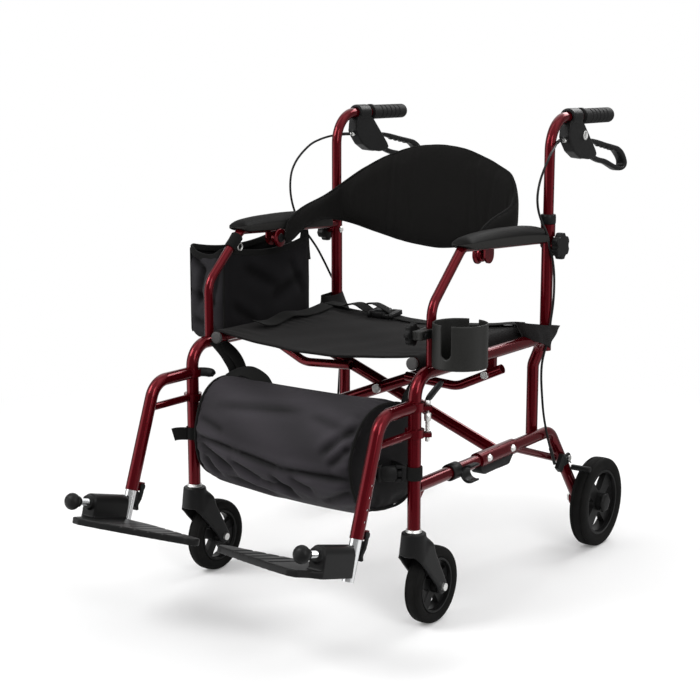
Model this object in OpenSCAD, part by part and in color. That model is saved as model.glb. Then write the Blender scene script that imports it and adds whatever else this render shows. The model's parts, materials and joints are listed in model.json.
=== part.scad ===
// Rollator transport chair: a walking frame on four wheels that turns into a
// transport chair. The chair faces -Y, +X is the chair's own left, the floor is z = 0.

/* [Frame] */
// Half distance between the middle planes of the two side frames
frame_half_w = 273; // [262:1:290]
// Place of the front legs along the chair
leg_y = -251; // [-262:1:-240]
// Distance from the front legs back to the handle posts
frame_depth = 512; // [505:1:525]
// Outside diameter of the frame tubes
frame_tube_d = 25.4; // [24.6:0.1:26.4]
// Wall of the frame tubes
tube_wall = 1.5; // [1.2:0.1:1.6]
// Height of the seat rail's axis
rail_z = 498; // [490:1:506]
// Height of the lower rail's axis
lower_rail_z = 285; // [280:1:292]
// Lower end of the front legs
leg_bottom_z = 197; // [195:1:202]
// Bend radius at the top of the front legs
leg_bend_r = 45; // [40:1:50]
// Bend radius from the seat rail into the rear legs
rear_bend_r = 40; // [36:1:44]
// Lean of the rear legs while they step inwards, in degrees
rear_lean = 22; // [19:1:25]
// Fall of the rear struts below level, in degrees
strut_angle = 52; // [49:1:55]
// Bend radius at the top of the rear struts
strut_bend_r = 45; // [40:1:50]

/* [Arms] */
// Outside diameter of the arm tubes
arm_tube_d = 19; // [18:0.1:20]
// Distance from the front legs back to the arm tubes
arm_set_back = 55; // [52:1:60]
// Height of the straight part of the arm tubes above the seat rail
arm_rise = 100; // [94:1:106]
// Lean of the arm tubes' sloping part, in degrees
arm_lean = 47; // [43:1:51]
// Length of the arm tubes' sloping part
arm_slope_l = 115; // [110:1:120]
// Bend radius at the foot of the arm tubes' sloping part
arm_foot_r = 50; // [44:1:56]
// Bend radius where the arm tubes turn level
arm_top_r = 30; // [26:1:34]
// Fall of the arm tubes towards the back, in degrees
arm_fall = 2.5; // [1:0.1:4]
// Gap between the armrest pads and the handle posts
pad_post_gap = 19; // [15:1:26]
// Width of the armrest pads
pad_w = 46; // [40:1:48]
// Height of the armrest pads
pad_h = 34; // [30:1:38]

/* [Handles] */
// Outside diameter of the handle tubes
handle_tube_d = 22.2; // [21.4:0.1:22.4]
// Height of the push grips' axis
grip_z = 957; // [940:1:975]
// Length of the push grips
grip_l = 142; // [130:1:150]
// Bend radius of the handle tubes
handle_bend_r = 68; // [62:1:72]
// Pitch of the holes that set the handles' height
handle_hole_pitch = 28; // [24:1:32]
// Diameter of the height knobs
height_knob_d = 46; // [40:1:48]
// Height of the height knobs' screws
height_knob_z = 693; // [688:1:697]

/* [Wheels] */
// Diameter of the rear wheels
rear_wheel_d = 200; // [192:1:206]
// Width of the rear tyres
rear_tyre_w = 37; // [32:1:38]
// Distance from the middle of the chair to the middle of the rear tyres
rear_wheel_x = 320; // [318:1:326]
// Distance from the front legs back to the rear axles
wheel_base = 686; // [680:1:700]
// Diameter of the front casters
caster_d = 152; // [146:1:156]
// Width of the front tyres
caster_w = 34; // [30:1:35]
// Distance of the caster axles behind the swivels
caster_trail = 64; // [60:1:68]

/* [Cross brace] */
// Outside diameter of the cross brace tubes
brace_tube_d = 25.4; // [24:0.1:26]
// Distance from the front legs back to the middle of the cross brace
brace_set_back = 304; // [296:1:312]
// Outside diameter of the seat tubes
seat_tube_d = 22.2; // [21:0.1:23]
// Distance from the side frames in to the seat tubes
seat_tube_in = 32.4; // [31:0.1:34]
// Height of the seat tubes' axis
seat_tube_z = 511; // [508:1:514]
// Length of the seat tubes
seat_tube_l = 428; // [400:1:436]
// Outside diameter of the stay links
stay_tube_d = 19; // [17:0.1:20]

/* [Footrests] */
// Diameter of the footrest hanger tubes
hanger_tube_d = 25.4; // [24.6:0.1:26.4]
// Slope of the hanger tubes out of the vertical, in degrees
hanger_slope = 20; // [18:1:22]
// Rise of the footplates towards the toes, in degrees
plate_pitch = 15; // [12:1:18]
// Diameter of the footplate hinge rods
foot_rod_d = 12; // [10:0.1:13]
// Reach of the footplates towards the middle of the chair
plate_reach = 246; // [230:1:250]
// Thickness of the footplates
plate_t = 13; // [10:1:15]

/* [Accessories] */
// Outside diameter of the cup holder
cup_d = 104; // [96:1:108]
// Height of the cup holder
cup_h = 84; // [76:1:92]
// Wall of the cup holder
cup_wall = 3.2; // [2.4:0.1:4]
// Width of the side bag across the chair
side_bag_w = 100; // [90:1:102]
// Length of the side bag along the chair
side_bag_l = 310; // [290:1:314]
// Height of the side bag
side_bag_h = 196; // [180:1:204]
// Width of the bag below the seat
seat_bag_w = 420; // [400:1:440]
// Height of the bag below the seat
seat_bag_h = 236; // [220:1:240]
// Depth of the bag below the seat
seat_bag_l = 236; // [220:1:240]

/* [Soft parts] */
// Sag of the seat cloth in the middle
seat_sag = 14; // [8:1:20]
// Thickness of the seat cloth
seat_cloth_t = 3; // [2:0.5:4]
// Thickness of the back pad
back_pad_t = 26; // [20:1:30]
// Height of the back pad at its middle
back_pad_h = 236; // [220:1:245]

/* [Fits] */
// Radial clearance of running fits
running_fit = 0.1; // [0.05:0.01:0.15]
// Clearance between parts that pass each other
side_gap = 0.4; // [0.3:0.1:0.8]
// Clearance of a coped tube end to the tube it stands on
weld_gap = 0.05; // [0.02:0.01:0.1]

/* [Hidden] */
$fn = 48;
cut = 1;

post_y = leg_y + frame_depth;
rear_leg_set_back = frame_depth - 4.5;
rear_leg_y = leg_y + rear_leg_set_back;
arm_y = leg_y + arm_set_back;
axle_y = leg_y + wheel_base;
axle_z = rear_wheel_d / 2;
axle_d = 12;
hub_boss_d = 32;

rear_leg_inset = frame_tube_d + 2 * weld_gap;
jog_bend_r = 40;
jog_l = (rear_leg_inset - rear_bend_r * sin(rear_lean) - jog_bend_r * (1 - cos(rear_lean))) / sin(rear_lean);
jog_drop = (rear_bend_r + jog_l) * cos(rear_lean) + jog_bend_r * sin(rear_lean);
rear_leg_foot = 14;
side_steps = [
    [rail_z - leg_bend_r - leg_bottom_z, 0, leg_bend_r, 90],
    [rear_leg_set_back - leg_bend_r - rear_bend_r, rear_lean, rear_bend_r, 90],
    [jog_l, -90, jog_bend_r, rear_lean],
    [rail_z - jog_drop - lower_rail_z + rear_leg_foot]
];

strut_l = (lower_rail_z - axle_z - strut_bend_r * (1 - cos(strut_angle))) / sin(strut_angle);
lower_rail_l = wheel_base - strut_bend_r * sin(strut_angle) - strut_l * cos(strut_angle);
cope_start = 8;
lower_steps = [[lower_rail_l - cope_start, 0, strut_bend_r, strut_angle], [strut_l]];

arm_top = 90 + arm_fall;
arm_slope_y = arm_y + arm_foot_r * (1 - cos(arm_lean));
arm_slope_z = rail_z + arm_rise + arm_foot_r * sin(arm_lean);
arm_bend_y = arm_slope_y + arm_slope_l * sin(arm_lean) + arm_top_r * (cos(arm_lean) - cos(arm_top));
arm_bend_z = arm_slope_z + arm_slope_l * cos(arm_lean) + arm_top_r * (sin(arm_top) - sin(arm_lean));
arm_steps = [
    [arm_rise, 0, arm_foot_r, arm_lean],
    [arm_slope_l, 0, arm_top_r, arm_top - arm_lean],
    [(post_y - arm_bend_y) / cos(arm_fall)]
];

pad_under = 10;
pad_start = -31;
pad_out = 3;
pad_l = (post_y - frame_tube_d / 2 - pad_post_gap - arm_bend_y) / cos(arm_fall) - pad_start;

post_bottom_z = rail_z - 30;
post_top_z = 737;
collar_d = 31;
collar_h = 25;
handle_foot_z = 600;
handle_end_y = post_y + 270;
handle_steps = [
    [grip_z - handle_bend_r - handle_foot_z, 0, handle_bend_r, 90],
    [handle_end_y - post_y - handle_bend_r]
];
post_bore_d = handle_tube_d + 2 * running_fit;
grip_start_y = post_y + 132;
grip_r = 16.5;
grip_flange_r = grip_r + 2;
knob_screw_d = 8;
knob_boss_d = 17;
knob_boss_l = 21;
knob_t = 17;

// Brake lever pivot, measured from the handle post and from the grip
lever_pivot = [post_y + 160, grip_z - 66];
lever_pin_d = 6;
lever_t = 11;
lever_eye_r = 12;
housing_w = 26;
housing_collar_d = 37;
housing_collar_l = 44;
housing_collar_y = post_y + 74;

// Cross brace: the lower ends turn on the lower rails, the tubes cross half way up
brace_y = leg_y + brace_set_back;
brace_step = (brace_tube_d + side_gap) / 2;
brace_cross_z = 392;
brace_angle = atan((brace_cross_z - lower_rail_z) / frame_half_w);
brace_half_l = frame_half_w / cos(brace_angle);
seat_tube_x = frame_half_w - seat_tube_in;
brace_top_l = (seat_tube_x + 22) / cos(brace_angle);
fold_limit = 36;
fold_clear = 2;
brace_fold_reach = 2 * brace_half_l * cos(brace_angle + fold_limit) - (pad_w / 2 - pad_out) - fold_clear;
sleeve_l = 145;
sleeve_wall = 3.6;
sleeve_bore_d = frame_tube_d + 2 * running_fit;
brace_bolt_d = 10;
seat_tube_y = leg_y + 41;

// Stay links: outer pivots under the seat rails, inner ends before the brace tubes
stay_pivot_z = 456;
stay_in_x = 88;
stay_bolt_d = 8;
stay_fall = 25;
stay_tail = 37;
stay_bend_r = 60;

// Casters
caster_r = caster_d / 2;
caster_axle_d = 8;
fork_gap = 3;
fork_t = 8;
fork_top_z = leg_bottom_z - side_gap;
crown_h = 44;
stem_d = 12;
stem_l = 42;
plug_l = 46;

// Footrests
hanger_z = 441;
hanger_ring_h = 16;
hanger_low_z = 390;
hanger_ring_d = 37;
hanger_bend_r = 45;
hanger_run = 83;
hanger_bend = 90 - hanger_slope;
hanger_l = 189;
hanger_end_y = leg_y - hanger_run - hanger_bend_r * sin(hanger_bend) - hanger_l * sin(hanger_slope);
hanger_end_z = hanger_z - hanger_bend_r * (1 - cos(hanger_bend)) - hanger_l * cos(hanger_slope);
foot_tube_d = hanger_tube_d - 2 * tube_wall - 2 * running_fit;
foot_tube_in = 110;
rod_below = 27;
foot_tube_out = rod_below + 50;
rod_y = hanger_end_y - rod_below * sin(hanger_slope);
rod_z = hanger_end_z - rod_below * cos(hanger_slope);
rod_l = 157;
ball_r = 17;
plate_front = 160;
plate_rear = hanger_tube_d / 2 + 3.5;
hinge_front = 110;
hinge_r = 17;
plate_drop = 41;
lug_w = 10;
lug_h = 18;
lug_reach = 30;
lug_pin = [hanger_tube_d / 2 + 10, 10];
lug_pin_d = 6;

// Rear brakes
brake_pivot_s = 66;
brake_arm_x = frame_half_w + frame_tube_d / 2 + 3;
brake_arm_t = 6;
brake_pin_d = 8;
strut_top_y = leg_y + lower_rail_l + strut_bend_r * sin(strut_angle);
strut_top_z = lower_rail_z - strut_bend_r * (1 - cos(strut_angle));
brake_pivot_y = strut_top_y + brake_pivot_s * cos(strut_angle);
brake_pivot_z = strut_top_z - brake_pivot_s * sin(strut_angle);
shoe_angle = 126;
shoe_gap = 3;
shoe_d = 13;
shoe_y = axle_y + (axle_z + shoe_gap + shoe_d / 2) * cos(shoe_angle);
shoe_z = axle_z + (axle_z + shoe_gap + shoe_d / 2) * sin(shoe_angle);

// Cup holder on the left arm tube, clamp knob on its inner side
cup_x = frame_half_w + 63;
cup_z = 514;
cup_slot_w = 20;
clamp_z = 573;
clamp_h = 18;
clamp_d = arm_tube_d + 12;
clamp_screw_y = arm_y - 40;
clamp_screw_d = 6;
cup_knob_d = 44;
cup_knob_t = 11;

// Back pad: turns over about a cross axis below the arm tubes
back_pivot_y = leg_y + 266 / 512 * frame_depth;
back_pivot_z = 697;
back_pin_d = 10;
back_half_w = frame_half_w - 35;
back_depth = post_y - back_pivot_y + 2;
back_rise = 52;
back_crest = 33;
back_end_h = 46;
back_end_t = 12;
back_bracket_in = 18;

// Bags
side_bag_x = frame_half_w + 15;
side_bag_y = leg_y + 122;
side_bag_z = 486;
side_bag_wall = 4;
seat_bag_y = leg_y - 118;
seat_bag_z = 212;

// Brake cable on the left side, from the brake housing to the brake arm: how far out from the frame,
// back from the post (the last three from the brake's pivot) and above the floor
cable_d = 5;
cable_points = [
    [0, 51, 909], [-1, 35, 908], [-9, 18, 902], [-16, 1, 890], [-18, -15, 872], [-19, -27, 846],
    [-18, -33, 815], [-16, -33, 787], [-14, -29, 760], [-9, -25, 739], [1, -23, 727], [13, -20, 718],
    [14, -14, 692], [16, -7, 666], [19, -1, 635], [20, 2, 600], [20, 2, 545], [20, 1, 490],
    [20, -3, 440], [20, -5, 385], [20, 1, 330], [20, -72.6, 280], [20, -64.6, 240], [20, -63.6, 216]
];
cable_low = len(cable_points) - 3;
cable_route = [for (i = [0:len(cable_points) - 1]) let (p = cable_points[i])
    [frame_half_w + p[0], (i < cable_low ? post_y : brake_pivot_y) + p[1], p[2]]];

black = [0.13, 0.13, 0.13];
red = [0.45, 0.03, 0.08];
steel = [0.78, 0.79, 0.80];

// Helpers

// Cross section of a tube; a wall of 0 makes it solid
module section(d, wall) {
    difference() {
        circle(d = d);
        if (wall > 0) circle(d = d - 2 * wall);
    }
}

// Bent tube that starts up +Z; each step is [straight, roll, bend radius, bend angle], the last only [straight]
module bent_tube(d, wall, steps, i = 0) {
    step = steps[i];
    linear_extrude(step[0]) section(d, wall);
    if (len(step) > 1) {
        translate([0, 0, step[0]]) rotate([0, 0, step[1]]) {
            seam(d, wall);
            translate([0, step[2], 0]) rotate([90, 0, -90])
                rotate_extrude(angle = step[3]) translate([step[2], 0]) section(d, wall);
            translate([0, step[2] * (1 - cos(step[3])), step[2] * sin(step[3])]) rotate([-step[3], 0, 0]) {
                seam(d, wall);
                bent_tube(d, wall, steps, i + 1);
            }
        }
    }
}

// Fine bead where a straight run meets a bend
module seam(d, wall) {
    bead = 0.05;
    l = 0.8;
    translate([0, 0, -l / 2]) linear_extrude(l) section(d + 2 * bead, wall > 0 ? wall + 2 * bead : 0);
}

// Cylinder along +X
module rod_x(d, l) {
    rotate([0, 90, 0]) cylinder(d = d, h = l);
}

// Cylinder along +Y
module rod_y(d, l) {
    rotate([-90, 0, 0]) cylinder(d = d, h = l);
}

// Plate drawn in the YZ plane, from x = 0 to x = t
module plate_x(t) {
    rotate([90, 0, 90]) linear_extrude(t) children();
}

// Star knob along +X with a row of lobes round its rim
module star_knob(d, t, lobes) {
    lobe_r = d * 0.15;
    difference() {
        rod_x(d, t);
        for (i = [0:lobes - 1])
            rotate([i * 360 / lobes, 0, 0]) translate([-cut, d / 2 + lobe_r * 0.45, 0]) rod_x(2 * lobe_r, t + 2 * cut);
    }
}

// Round cord of 8 sides swept along a list of points
function unit(v) = v / norm(v);
function tangent(p, i) = unit(p[min(i + 1, len(p) - 1)] - p[max(i - 1, 0)]);
function across(t) = unit(cross(t, abs(t[0]) < 0.9 ? [1, 0, 0] : [0, 1, 0]));
function cord_ring(p, i, r, sides) =
    let (t = tangent(p, i), u = across(t), v = cross(t, u))
    [for (k = [0:sides - 1]) p[i] + r * (cos(k * 360 / sides) * u + sin(k * 360 / sides) * v)];
// Points between the route's own points, on a smooth curve through them
function smooth_point(p, i, f) =
    let (a = p[max(i - 1, 0)], b = p[i], c = p[i + 1], d = p[min(i + 2, len(p) - 1)])
    0.5 * (2 * b + (c - a) * f + (2 * a - 5 * b + 4 * c - d) * f * f + (3 * b - a - 3 * c + d) * f * f * f);
function smooth_route(p, n) = concat(
    [for (i = [0:len(p) - 2], k = [0:n - 1]) smooth_point(p, i, k / n)], [p[len(p) - 1]]);

module cord(route, d) {
    sides = 8;
    path = smooth_route(route, 3);
    n = len(path);
    points = [for (i = [0:n - 1]) each cord_ring(path, i, d / 2, sides)];
    walls = [for (i = [0:n - 2], k = [0:sides - 1]) let (m = (k + 1) % sides)
        [i * sides + k, (i + 1) * sides + k, (i + 1) * sides + m, i * sides + m]];
    first = [for (k = [0:sides - 1]) k];
    last = [for (k = [sides - 1:-1:0]) (n - 1) * sides + k];
    polyhedron(points, concat(walls, [first, last]));
}

// Frame, drawn for the left side

module side_tube(wall, grow = 0) {
    translate([frame_half_w, leg_y, leg_bottom_z]) bent_tube(frame_tube_d + 2 * grow, wall, side_steps);
}

// Bracket under the seat rail that carries a stay link
module stay_bracket(link_y) {
    w = 18;
    t = 12;
    translate([frame_half_w - w / 2, link_y + stay_tube_d / 2 + side_gap, stay_pivot_z])
        cube([w, t, rail_z - stay_pivot_z - frame_tube_d / 2 + 3]);
    translate([frame_half_w, link_y + stay_tube_d / 2 + side_gap, stay_pivot_z]) rod_y(w, t);
}

module side_frame(link_y) {
    color(red) difference() {
        union() {
            side_tube(tube_wall);
            stay_bracket(link_y);
            translate([frame_half_w, leg_y, leg_bottom_z]) cylinder(d = frame_tube_d - 2 * tube_wall + 0.2, h = plug_l);
        }
        translate([frame_half_w, link_y, stay_pivot_z]) rod_y(stay_bolt_d + 2 * weld_gap, stay_tube_d + 30);
        translate([frame_half_w, leg_y, leg_bottom_z - cut]) cylinder(d = stem_d + 2 * running_fit, h = plug_l + 2 * cut);
    }
}

module lower_tube(wall, grow = 0) {
    translate([frame_half_w, leg_y + cope_start, lower_rail_z]) rotate([-90, 0, 0])
        bent_tube(frame_tube_d + 2 * grow, wall, lower_steps);
}

// Bar that closes the triangle between the lower rail and the strut
module strut_bar() {
    d = 16;
    from = [brace_y + sleeve_l / 2 + 15, lower_rail_z - 8];
    to = [strut_top_y + 10, strut_top_z - 48];
    run = to - from;
    translate([frame_half_w, from[0], from[1]]) rotate([-90 + atan2(run[1], run[0]), 0, 0])
        cylinder(d = d, h = norm(run));
}

// Gusset in the corner below the lower rail
module gusset() {
    size = 26;
    t = 4;
    corner = [leg_y + frame_tube_d / 2 - 3, lower_rail_z - frame_tube_d / 2 + 2];
    translate([frame_half_w - t / 2, 0, 0]) plate_x(t)
        polygon([corner, corner + [size, 0], corner - [0, size]]);
}

module lower_rail() {
    bite = 0.6;
    color(red) difference() {
        union() {
            lower_tube(tube_wall);
            difference() {
                union() {
                    strut_bar();
                    gusset();
                }
                lower_tube(0, -bite);
            }
            translate([frame_half_w - frame_tube_d / 2 - cut, axle_y, axle_z]) rod_x(hub_boss_d, frame_tube_d + 2 * cut);
        }
        side_tube(0, weld_gap);
        translate([frame_half_w - frame_tube_d, axle_y, axle_z]) rod_x(axle_d + 2 * weld_gap, 2 * frame_tube_d);
        translate([frame_half_w, brake_pivot_y, brake_pivot_z]) rod_x(brake_pin_d + 2 * weld_gap, frame_tube_d);
    }
}

module arm_line(wall, grow = 0) {
    translate([frame_half_w, arm_y, rail_z]) bent_tube(arm_tube_d + 2 * grow, wall, arm_steps);
}

// Frame that follows the arm tube: origin at the end of its bend, +Y along the tube
module on_arm() {
    translate([frame_half_w, arm_bend_y, arm_bend_z]) rotate([-arm_fall, 0, 0]) children();
}

// Frame that follows the sloping part of the arm tube: origin at its lower end, +Y up along the tube
module on_arm_slope() {
    translate([frame_half_w, arm_slope_y, arm_slope_z]) rotate([90 - arm_lean, 0, 0]) children();
}

// Bracket below the arm tube with the pin that the back pad turns on
module back_bracket() {
    w = 34;
    h = arm_bend_z - back_pivot_z;
    t = 4;
    translate([frame_half_w - t / 2, 0, 0]) plate_x(t) union() {
        translate([back_pivot_y - w / 2, back_pivot_z]) square([w, h - arm_tube_d / 2]);
        translate([back_pivot_y, back_pivot_z]) circle(d = w);
    }
    translate([frame_half_w - back_bracket_in, back_pivot_y, back_pivot_z]) rod_x(back_pin_d, back_bracket_in);
}

module arm_tube() {
    color(red) difference() {
        union() {
            arm_line(tube_wall);
            back_bracket();
        }
        side_tube(0, weld_gap);
        translate([frame_half_w, post_y, post_bottom_z]) cylinder(d = frame_tube_d + 2 * weld_gap, h = post_top_z);
        translate([frame_half_w, post_y, post_top_z - collar_h - weld_gap])
            cylinder(d = collar_d + 2 * weld_gap, h = collar_h + 2 * weld_gap);
    }
}

module rear_post() {
    color(red) difference() {
        union() {
            translate([frame_half_w, post_y, post_bottom_z]) cylinder(d = frame_tube_d, h = post_top_z - post_bottom_z);
            translate([frame_half_w, post_y, post_top_z - collar_h]) cylinder(d = collar_d, h = collar_h);
            translate([frame_half_w, post_y, height_knob_z]) rod_x(knob_boss_d, knob_boss_l);
        }
        translate([frame_half_w, post_y, post_bottom_z - cut]) cylinder(d = post_bore_d, h = post_top_z);
        translate([frame_half_w, post_y, height_knob_z])
            rod_x(knob_screw_d + 2 * running_fit, knob_boss_l + cut);
        side_tube(0, weld_gap);
    }
}

// Pad that sits over the arm tube: a crowned section cut by a long domed outline
module armrest_pad() {
    crown_r = 46;
    seat_d = arm_tube_d + 2 * weld_gap;
    start = pad_start;
    dome_r = 900;
    nose_r = 22;
    base = -pad_under;
    color(black) on_arm() intersection() {
        translate([0, start + pad_l, 0]) rotate([90, 0, 0]) linear_extrude(pad_l) difference() {
            intersection() {
                translate([pad_out - pad_w / 2, base]) square([pad_w, pad_h]);
                translate([pad_out, base + pad_h - crown_r]) circle(r = crown_r);
            }
            circle(d = seat_d);
            translate([-seat_d / 2, base - cut]) square([seat_d, -base + cut]);
        }
        translate([-pad_w, 0, 0]) plate_x(2 * pad_w) intersection() {
            translate([start + pad_l / 2, base + pad_h - dome_r]) circle(r = dome_r, $fn = 120);
            union() {
                translate([start + nose_r, base]) square([pad_l - 2 * nose_r, pad_h]);
                for (y = [start + nose_r, start + pad_l - nose_r])
                    translate([y, base + pad_h - nose_r]) circle(r = nose_r);
                translate([start, base]) square([pad_l, pad_h - nose_r]);
            }
        }
    }
}

// Bolts, axle and pins that stay on one side frame
module frame_bolts(link_y) {
    head_d = 15;
    head_h = 5;
    stay_front = link_y - stay_tube_d / 2 - side_gap;
    stay_l = stay_tube_d + 2 * side_gap + 12;
    axle_in = frame_half_w - frame_tube_d / 2 - cut;
    hub_out = rear_wheel_x + rear_tyre_w / 2;
    color(steel) {
        translate([frame_half_w, stay_front, stay_pivot_z]) rod_y(stay_bolt_d, stay_l);
        translate([frame_half_w, stay_front - head_h, stay_pivot_z]) rod_y(head_d, head_h);
        translate([axle_in, axle_y, axle_z]) rod_x(axle_d, hub_out - axle_in);
        translate([axle_in - 7, axle_y, axle_z]) rod_x(20, 7);
        translate([hub_out, axle_y, axle_z]) rod_x(19, 6);
        translate([frame_half_w, brake_pivot_y, brake_pivot_z])
            rod_x(brake_pin_d, brake_arm_x + brake_arm_t + side_gap - frame_half_w);
        translate([brake_arm_x + brake_arm_t + side_gap, brake_pivot_y, brake_pivot_z]) rod_x(12, 3);
        translate([frame_half_w - frame_tube_d / 2, post_y, height_knob_z]) intersection() {
            translate([5, 0, 0]) sphere(r = 9);
            translate([-10, -10, -10]) cube([9.7, 20, 20]);
        }
    }
}

// Handles and brakes

module handle_line(wall, grow = 0) {
    translate([frame_half_w, post_y, handle_foot_z]) bent_tube(handle_tube_d + 2 * grow, wall, handle_steps);
}

module handle_tube() {
    hole_d = 6;
    holes = 5;
    color(red) difference() {
        handle_line(tube_wall);
        for (i = [0:holes - 1])
            translate([frame_half_w - handle_tube_d, post_y, grip_z - 144 - i * handle_hole_pitch])
                rod_x(hole_d, 2 * handle_tube_d);
    }
}

// Grip with a flange, finger grooves and a rounded end
module grip() {
    bore_r = handle_tube_d / 2 + weld_gap;
    flange_l = 7;
    groove_r = 3;
    grooves = 5;
    first_groove = 34;
    end_r = 7;
    color(black) translate([frame_half_w, grip_start_y, grip_z]) rotate([-90, 0, 0]) rotate_extrude() difference() {
        union() {
            square([grip_flange_r, flange_l]);
            square([grip_r, grip_l - end_r]);
            square([grip_r - end_r, grip_l]);
            translate([grip_r - end_r, grip_l - end_r]) circle(r = end_r);
        }
        square([bore_r, handle_end_y - grip_start_y + 2 * weld_gap]);
        for (i = [0:grooves - 1])
            translate([grip_r + groove_r * 0.55, first_groove + i * 18]) circle(r = groove_r);
    }
}

// Side view of the brake housing, measured from the handle post and the grip's axis
housing_outline = [
    [74, -5], [118, -5], [134, -16], [160, -42], [192, -74], [197, -83], [190, -90], [161, -93], [118, -88],
    [88, -73], [70, -54], [62, -42], [66, -16]
];

module brake_housing() {
    adjuster_d = 9;
    adjuster_l = 14;
    cap_d = 21;
    color(black) difference() {
        union() {
            translate([frame_half_w, housing_collar_y, grip_z]) rod_y(housing_collar_d, housing_collar_l);
            translate([frame_half_w - housing_w / 2, post_y, grip_z]) plate_x(housing_w) polygon(housing_outline);
            translate([frame_half_w, post_y + 66, grip_z - 48]) rotate([90, 0, 0]) cylinder(d = adjuster_d, h = adjuster_l);
            translate([frame_half_w + housing_w / 2, post_y + 132, grip_z - 40]) rod_x(cap_d, 2);
        }
        translate([frame_half_w, housing_collar_y - 40, grip_z])
            rod_y(handle_tube_d + 2 * weld_gap, housing_collar_l + 80);
        handle_line(0, weld_gap);
        translate([frame_half_w, grip_start_y - weld_gap, grip_z]) rod_y(2 * (grip_flange_r + weld_gap), grip_l);
        translate([frame_half_w - lever_t / 2 - side_gap, lever_pivot[0] - lever_eye_r - 3, lever_pivot[1] - 40])
            cube([lever_t + 2 * side_gap, 80, 66]);
    }
    color(black) translate([frame_half_w - housing_w / 2, lever_pivot[0], lever_pivot[1]]) rod_x(lever_pin_d, housing_w);
}

// Loop lever: rows of points round the loop, measured from its pivot
lever_outer = [
    [4, 11], [20, 18], [72, 14], [140, 1], [166, -8], [184, -22], [194, -40], [192, -54], [178, -61],
    [150, -60], [116, -53], [76, -39], [36, -24], [4, -12]
];
lever_inner = [[32, -3], [92, -6], [134, -16], [158, -30], [164, -38], [156, -43], [140, -43], [98, -30], [48, -15]];

module brake_lever() {
    scallop_r = 5;
    color(black) translate([frame_half_w - lever_t / 2, lever_pivot[0], lever_pivot[1]]) difference() {
        union() {
            rod_x(2 * lever_eye_r, lever_t);
            plate_x(lever_t) polygon(lever_outer);
        }
        translate([-cut, 0, 0]) plate_x(lever_t + 2 * cut) polygon(lever_inner);
        translate([-cut, 0, 0]) rod_x(lever_pin_d + 2 * running_fit, lever_t + 2 * cut);
        for (i = [0:3]) translate([-cut, 44 + i * 20, -1.5 - i * 1.8]) rod_x(2 * scallop_r, lever_t + 2 * cut);
    }
}

module height_knob() {
    screw_in = handle_tube_d / 2 + side_gap;
    knob_in = knob_boss_l + side_gap;
    color(black) translate([frame_half_w, post_y, height_knob_z]) {
        translate([knob_in, 0, 0]) star_knob(height_knob_d, knob_t, 6);
        translate([screw_in, 0, 0]) rod_x(knob_screw_d, knob_in - screw_in + cut);
    }
}

module brake_cable() {
    color(black) cord(cable_route, cable_d);
}

// Brake arm beside the strut: a block for the cable end, a pivot and a shoe across the tyre
module brake_shoe() {
    block = [22, 36];
    block_at = [brake_pivot_y - 36, brake_pivot_z - 4];
    shoe_in = brake_arm_x + brake_arm_t - cut;
    shoe_out = rear_wheel_x + rear_tyre_w / 2 - 3;
    pivot = [brake_pivot_y, brake_pivot_z];
    shoe = [shoe_y, shoe_z];
    color(black) difference() {
        union() {
            translate([brake_arm_x, 0, 0]) plate_x(brake_arm_t) union() {
                translate(pivot) circle(r = 12);
                translate(shoe) circle(d = shoe_d);
                polygon([pivot + [-3, 11], shoe + [-4, 5], shoe + [4, -5], pivot + [9, -8]]);
                polygon([pivot + [-2, 11], block_at + [-4, 12], block_at + [8, -14], pivot + [2, -11]]);
            }
            translate([shoe_in, shoe_y, shoe_z]) rod_x(shoe_d, shoe_out - shoe_in);
            translate([brake_arm_x - 1, block_at[0], block_at[1]]) rotate([-38, 0, 0])
                translate([0, -block[0] / 2, -block[1] / 2]) cube([brake_arm_t + 6, block[0], block[1]]);
        }
        translate([brake_arm_x - cut, pivot[0], pivot[1]])
            rod_x(brake_pin_d + 2 * running_fit, brake_arm_t + 3 * cut);
    }
}

// Wheels

// Tyre with a flat tread between two rounded shoulders, turned about X
module tyre(d, w, rim_r) {
    r = d / 2;
    shoulder = 8;
    rotate([0, 90, 0]) rotate_extrude($fn = 96) difference() {
        union() {
            translate([rim_r, -w / 2]) square([r - shoulder - rim_r, w]);
            translate([rim_r, -w / 2 + shoulder]) square([r - rim_r, w - 2 * shoulder]);
            for (z = [-1, 1]) translate([r - shoulder, z * (w / 2 - shoulder)]) circle(r = shoulder);
        }
        for (z = [-1, 1]) translate([r, z * w * 0.17]) circle(r = 1.2);
    }
}

// Rim, web with windows and hub, turned about X
module rim(rim_r, w, hub_r, hub_w, bore_d, windows, web_t, rim_t) {
    rotate([0, 90, 0]) difference() {
        union() {
            rotate_extrude($fn = 96) translate([rim_r - rim_t, -w / 2]) square([rim_t, w]);
            translate([0, 0, -web_t / 2]) cylinder(r = rim_r - rim_t + 0.5, h = web_t);
            translate([0, 0, -hub_w / 2]) cylinder(r = hub_r, h = hub_w);
        }
        translate([0, 0, -hub_w]) cylinder(d = bore_d, h = 2 * hub_w);
        for (i = [0:windows - 1]) rotate([0, 0, i * 360 / windows]) translate([0, 0, -web_t])
            linear_extrude(2 * web_t) intersection() {
                difference() {
                    circle(r = rim_r - rim_t - 2);
                    circle(r = hub_r + 5);
                }
                polygon([[hub_r, 0], [rim_r * cos(132 / windows) * 1.2, -rim_r * sin(132 / windows) * 1.2],
                    [rim_r * 1.4, 0], [rim_r * cos(132 / windows) * 1.2, rim_r * sin(132 / windows) * 1.2]]);
            }
    }
}

rear_rim_r = axle_z - 27;
rear_hub_r = 20;

module rear_tyre() {
    color(black) translate([rear_wheel_x, axle_y, axle_z]) tyre(rear_wheel_d, rear_tyre_w, rear_rim_r);
}

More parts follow.
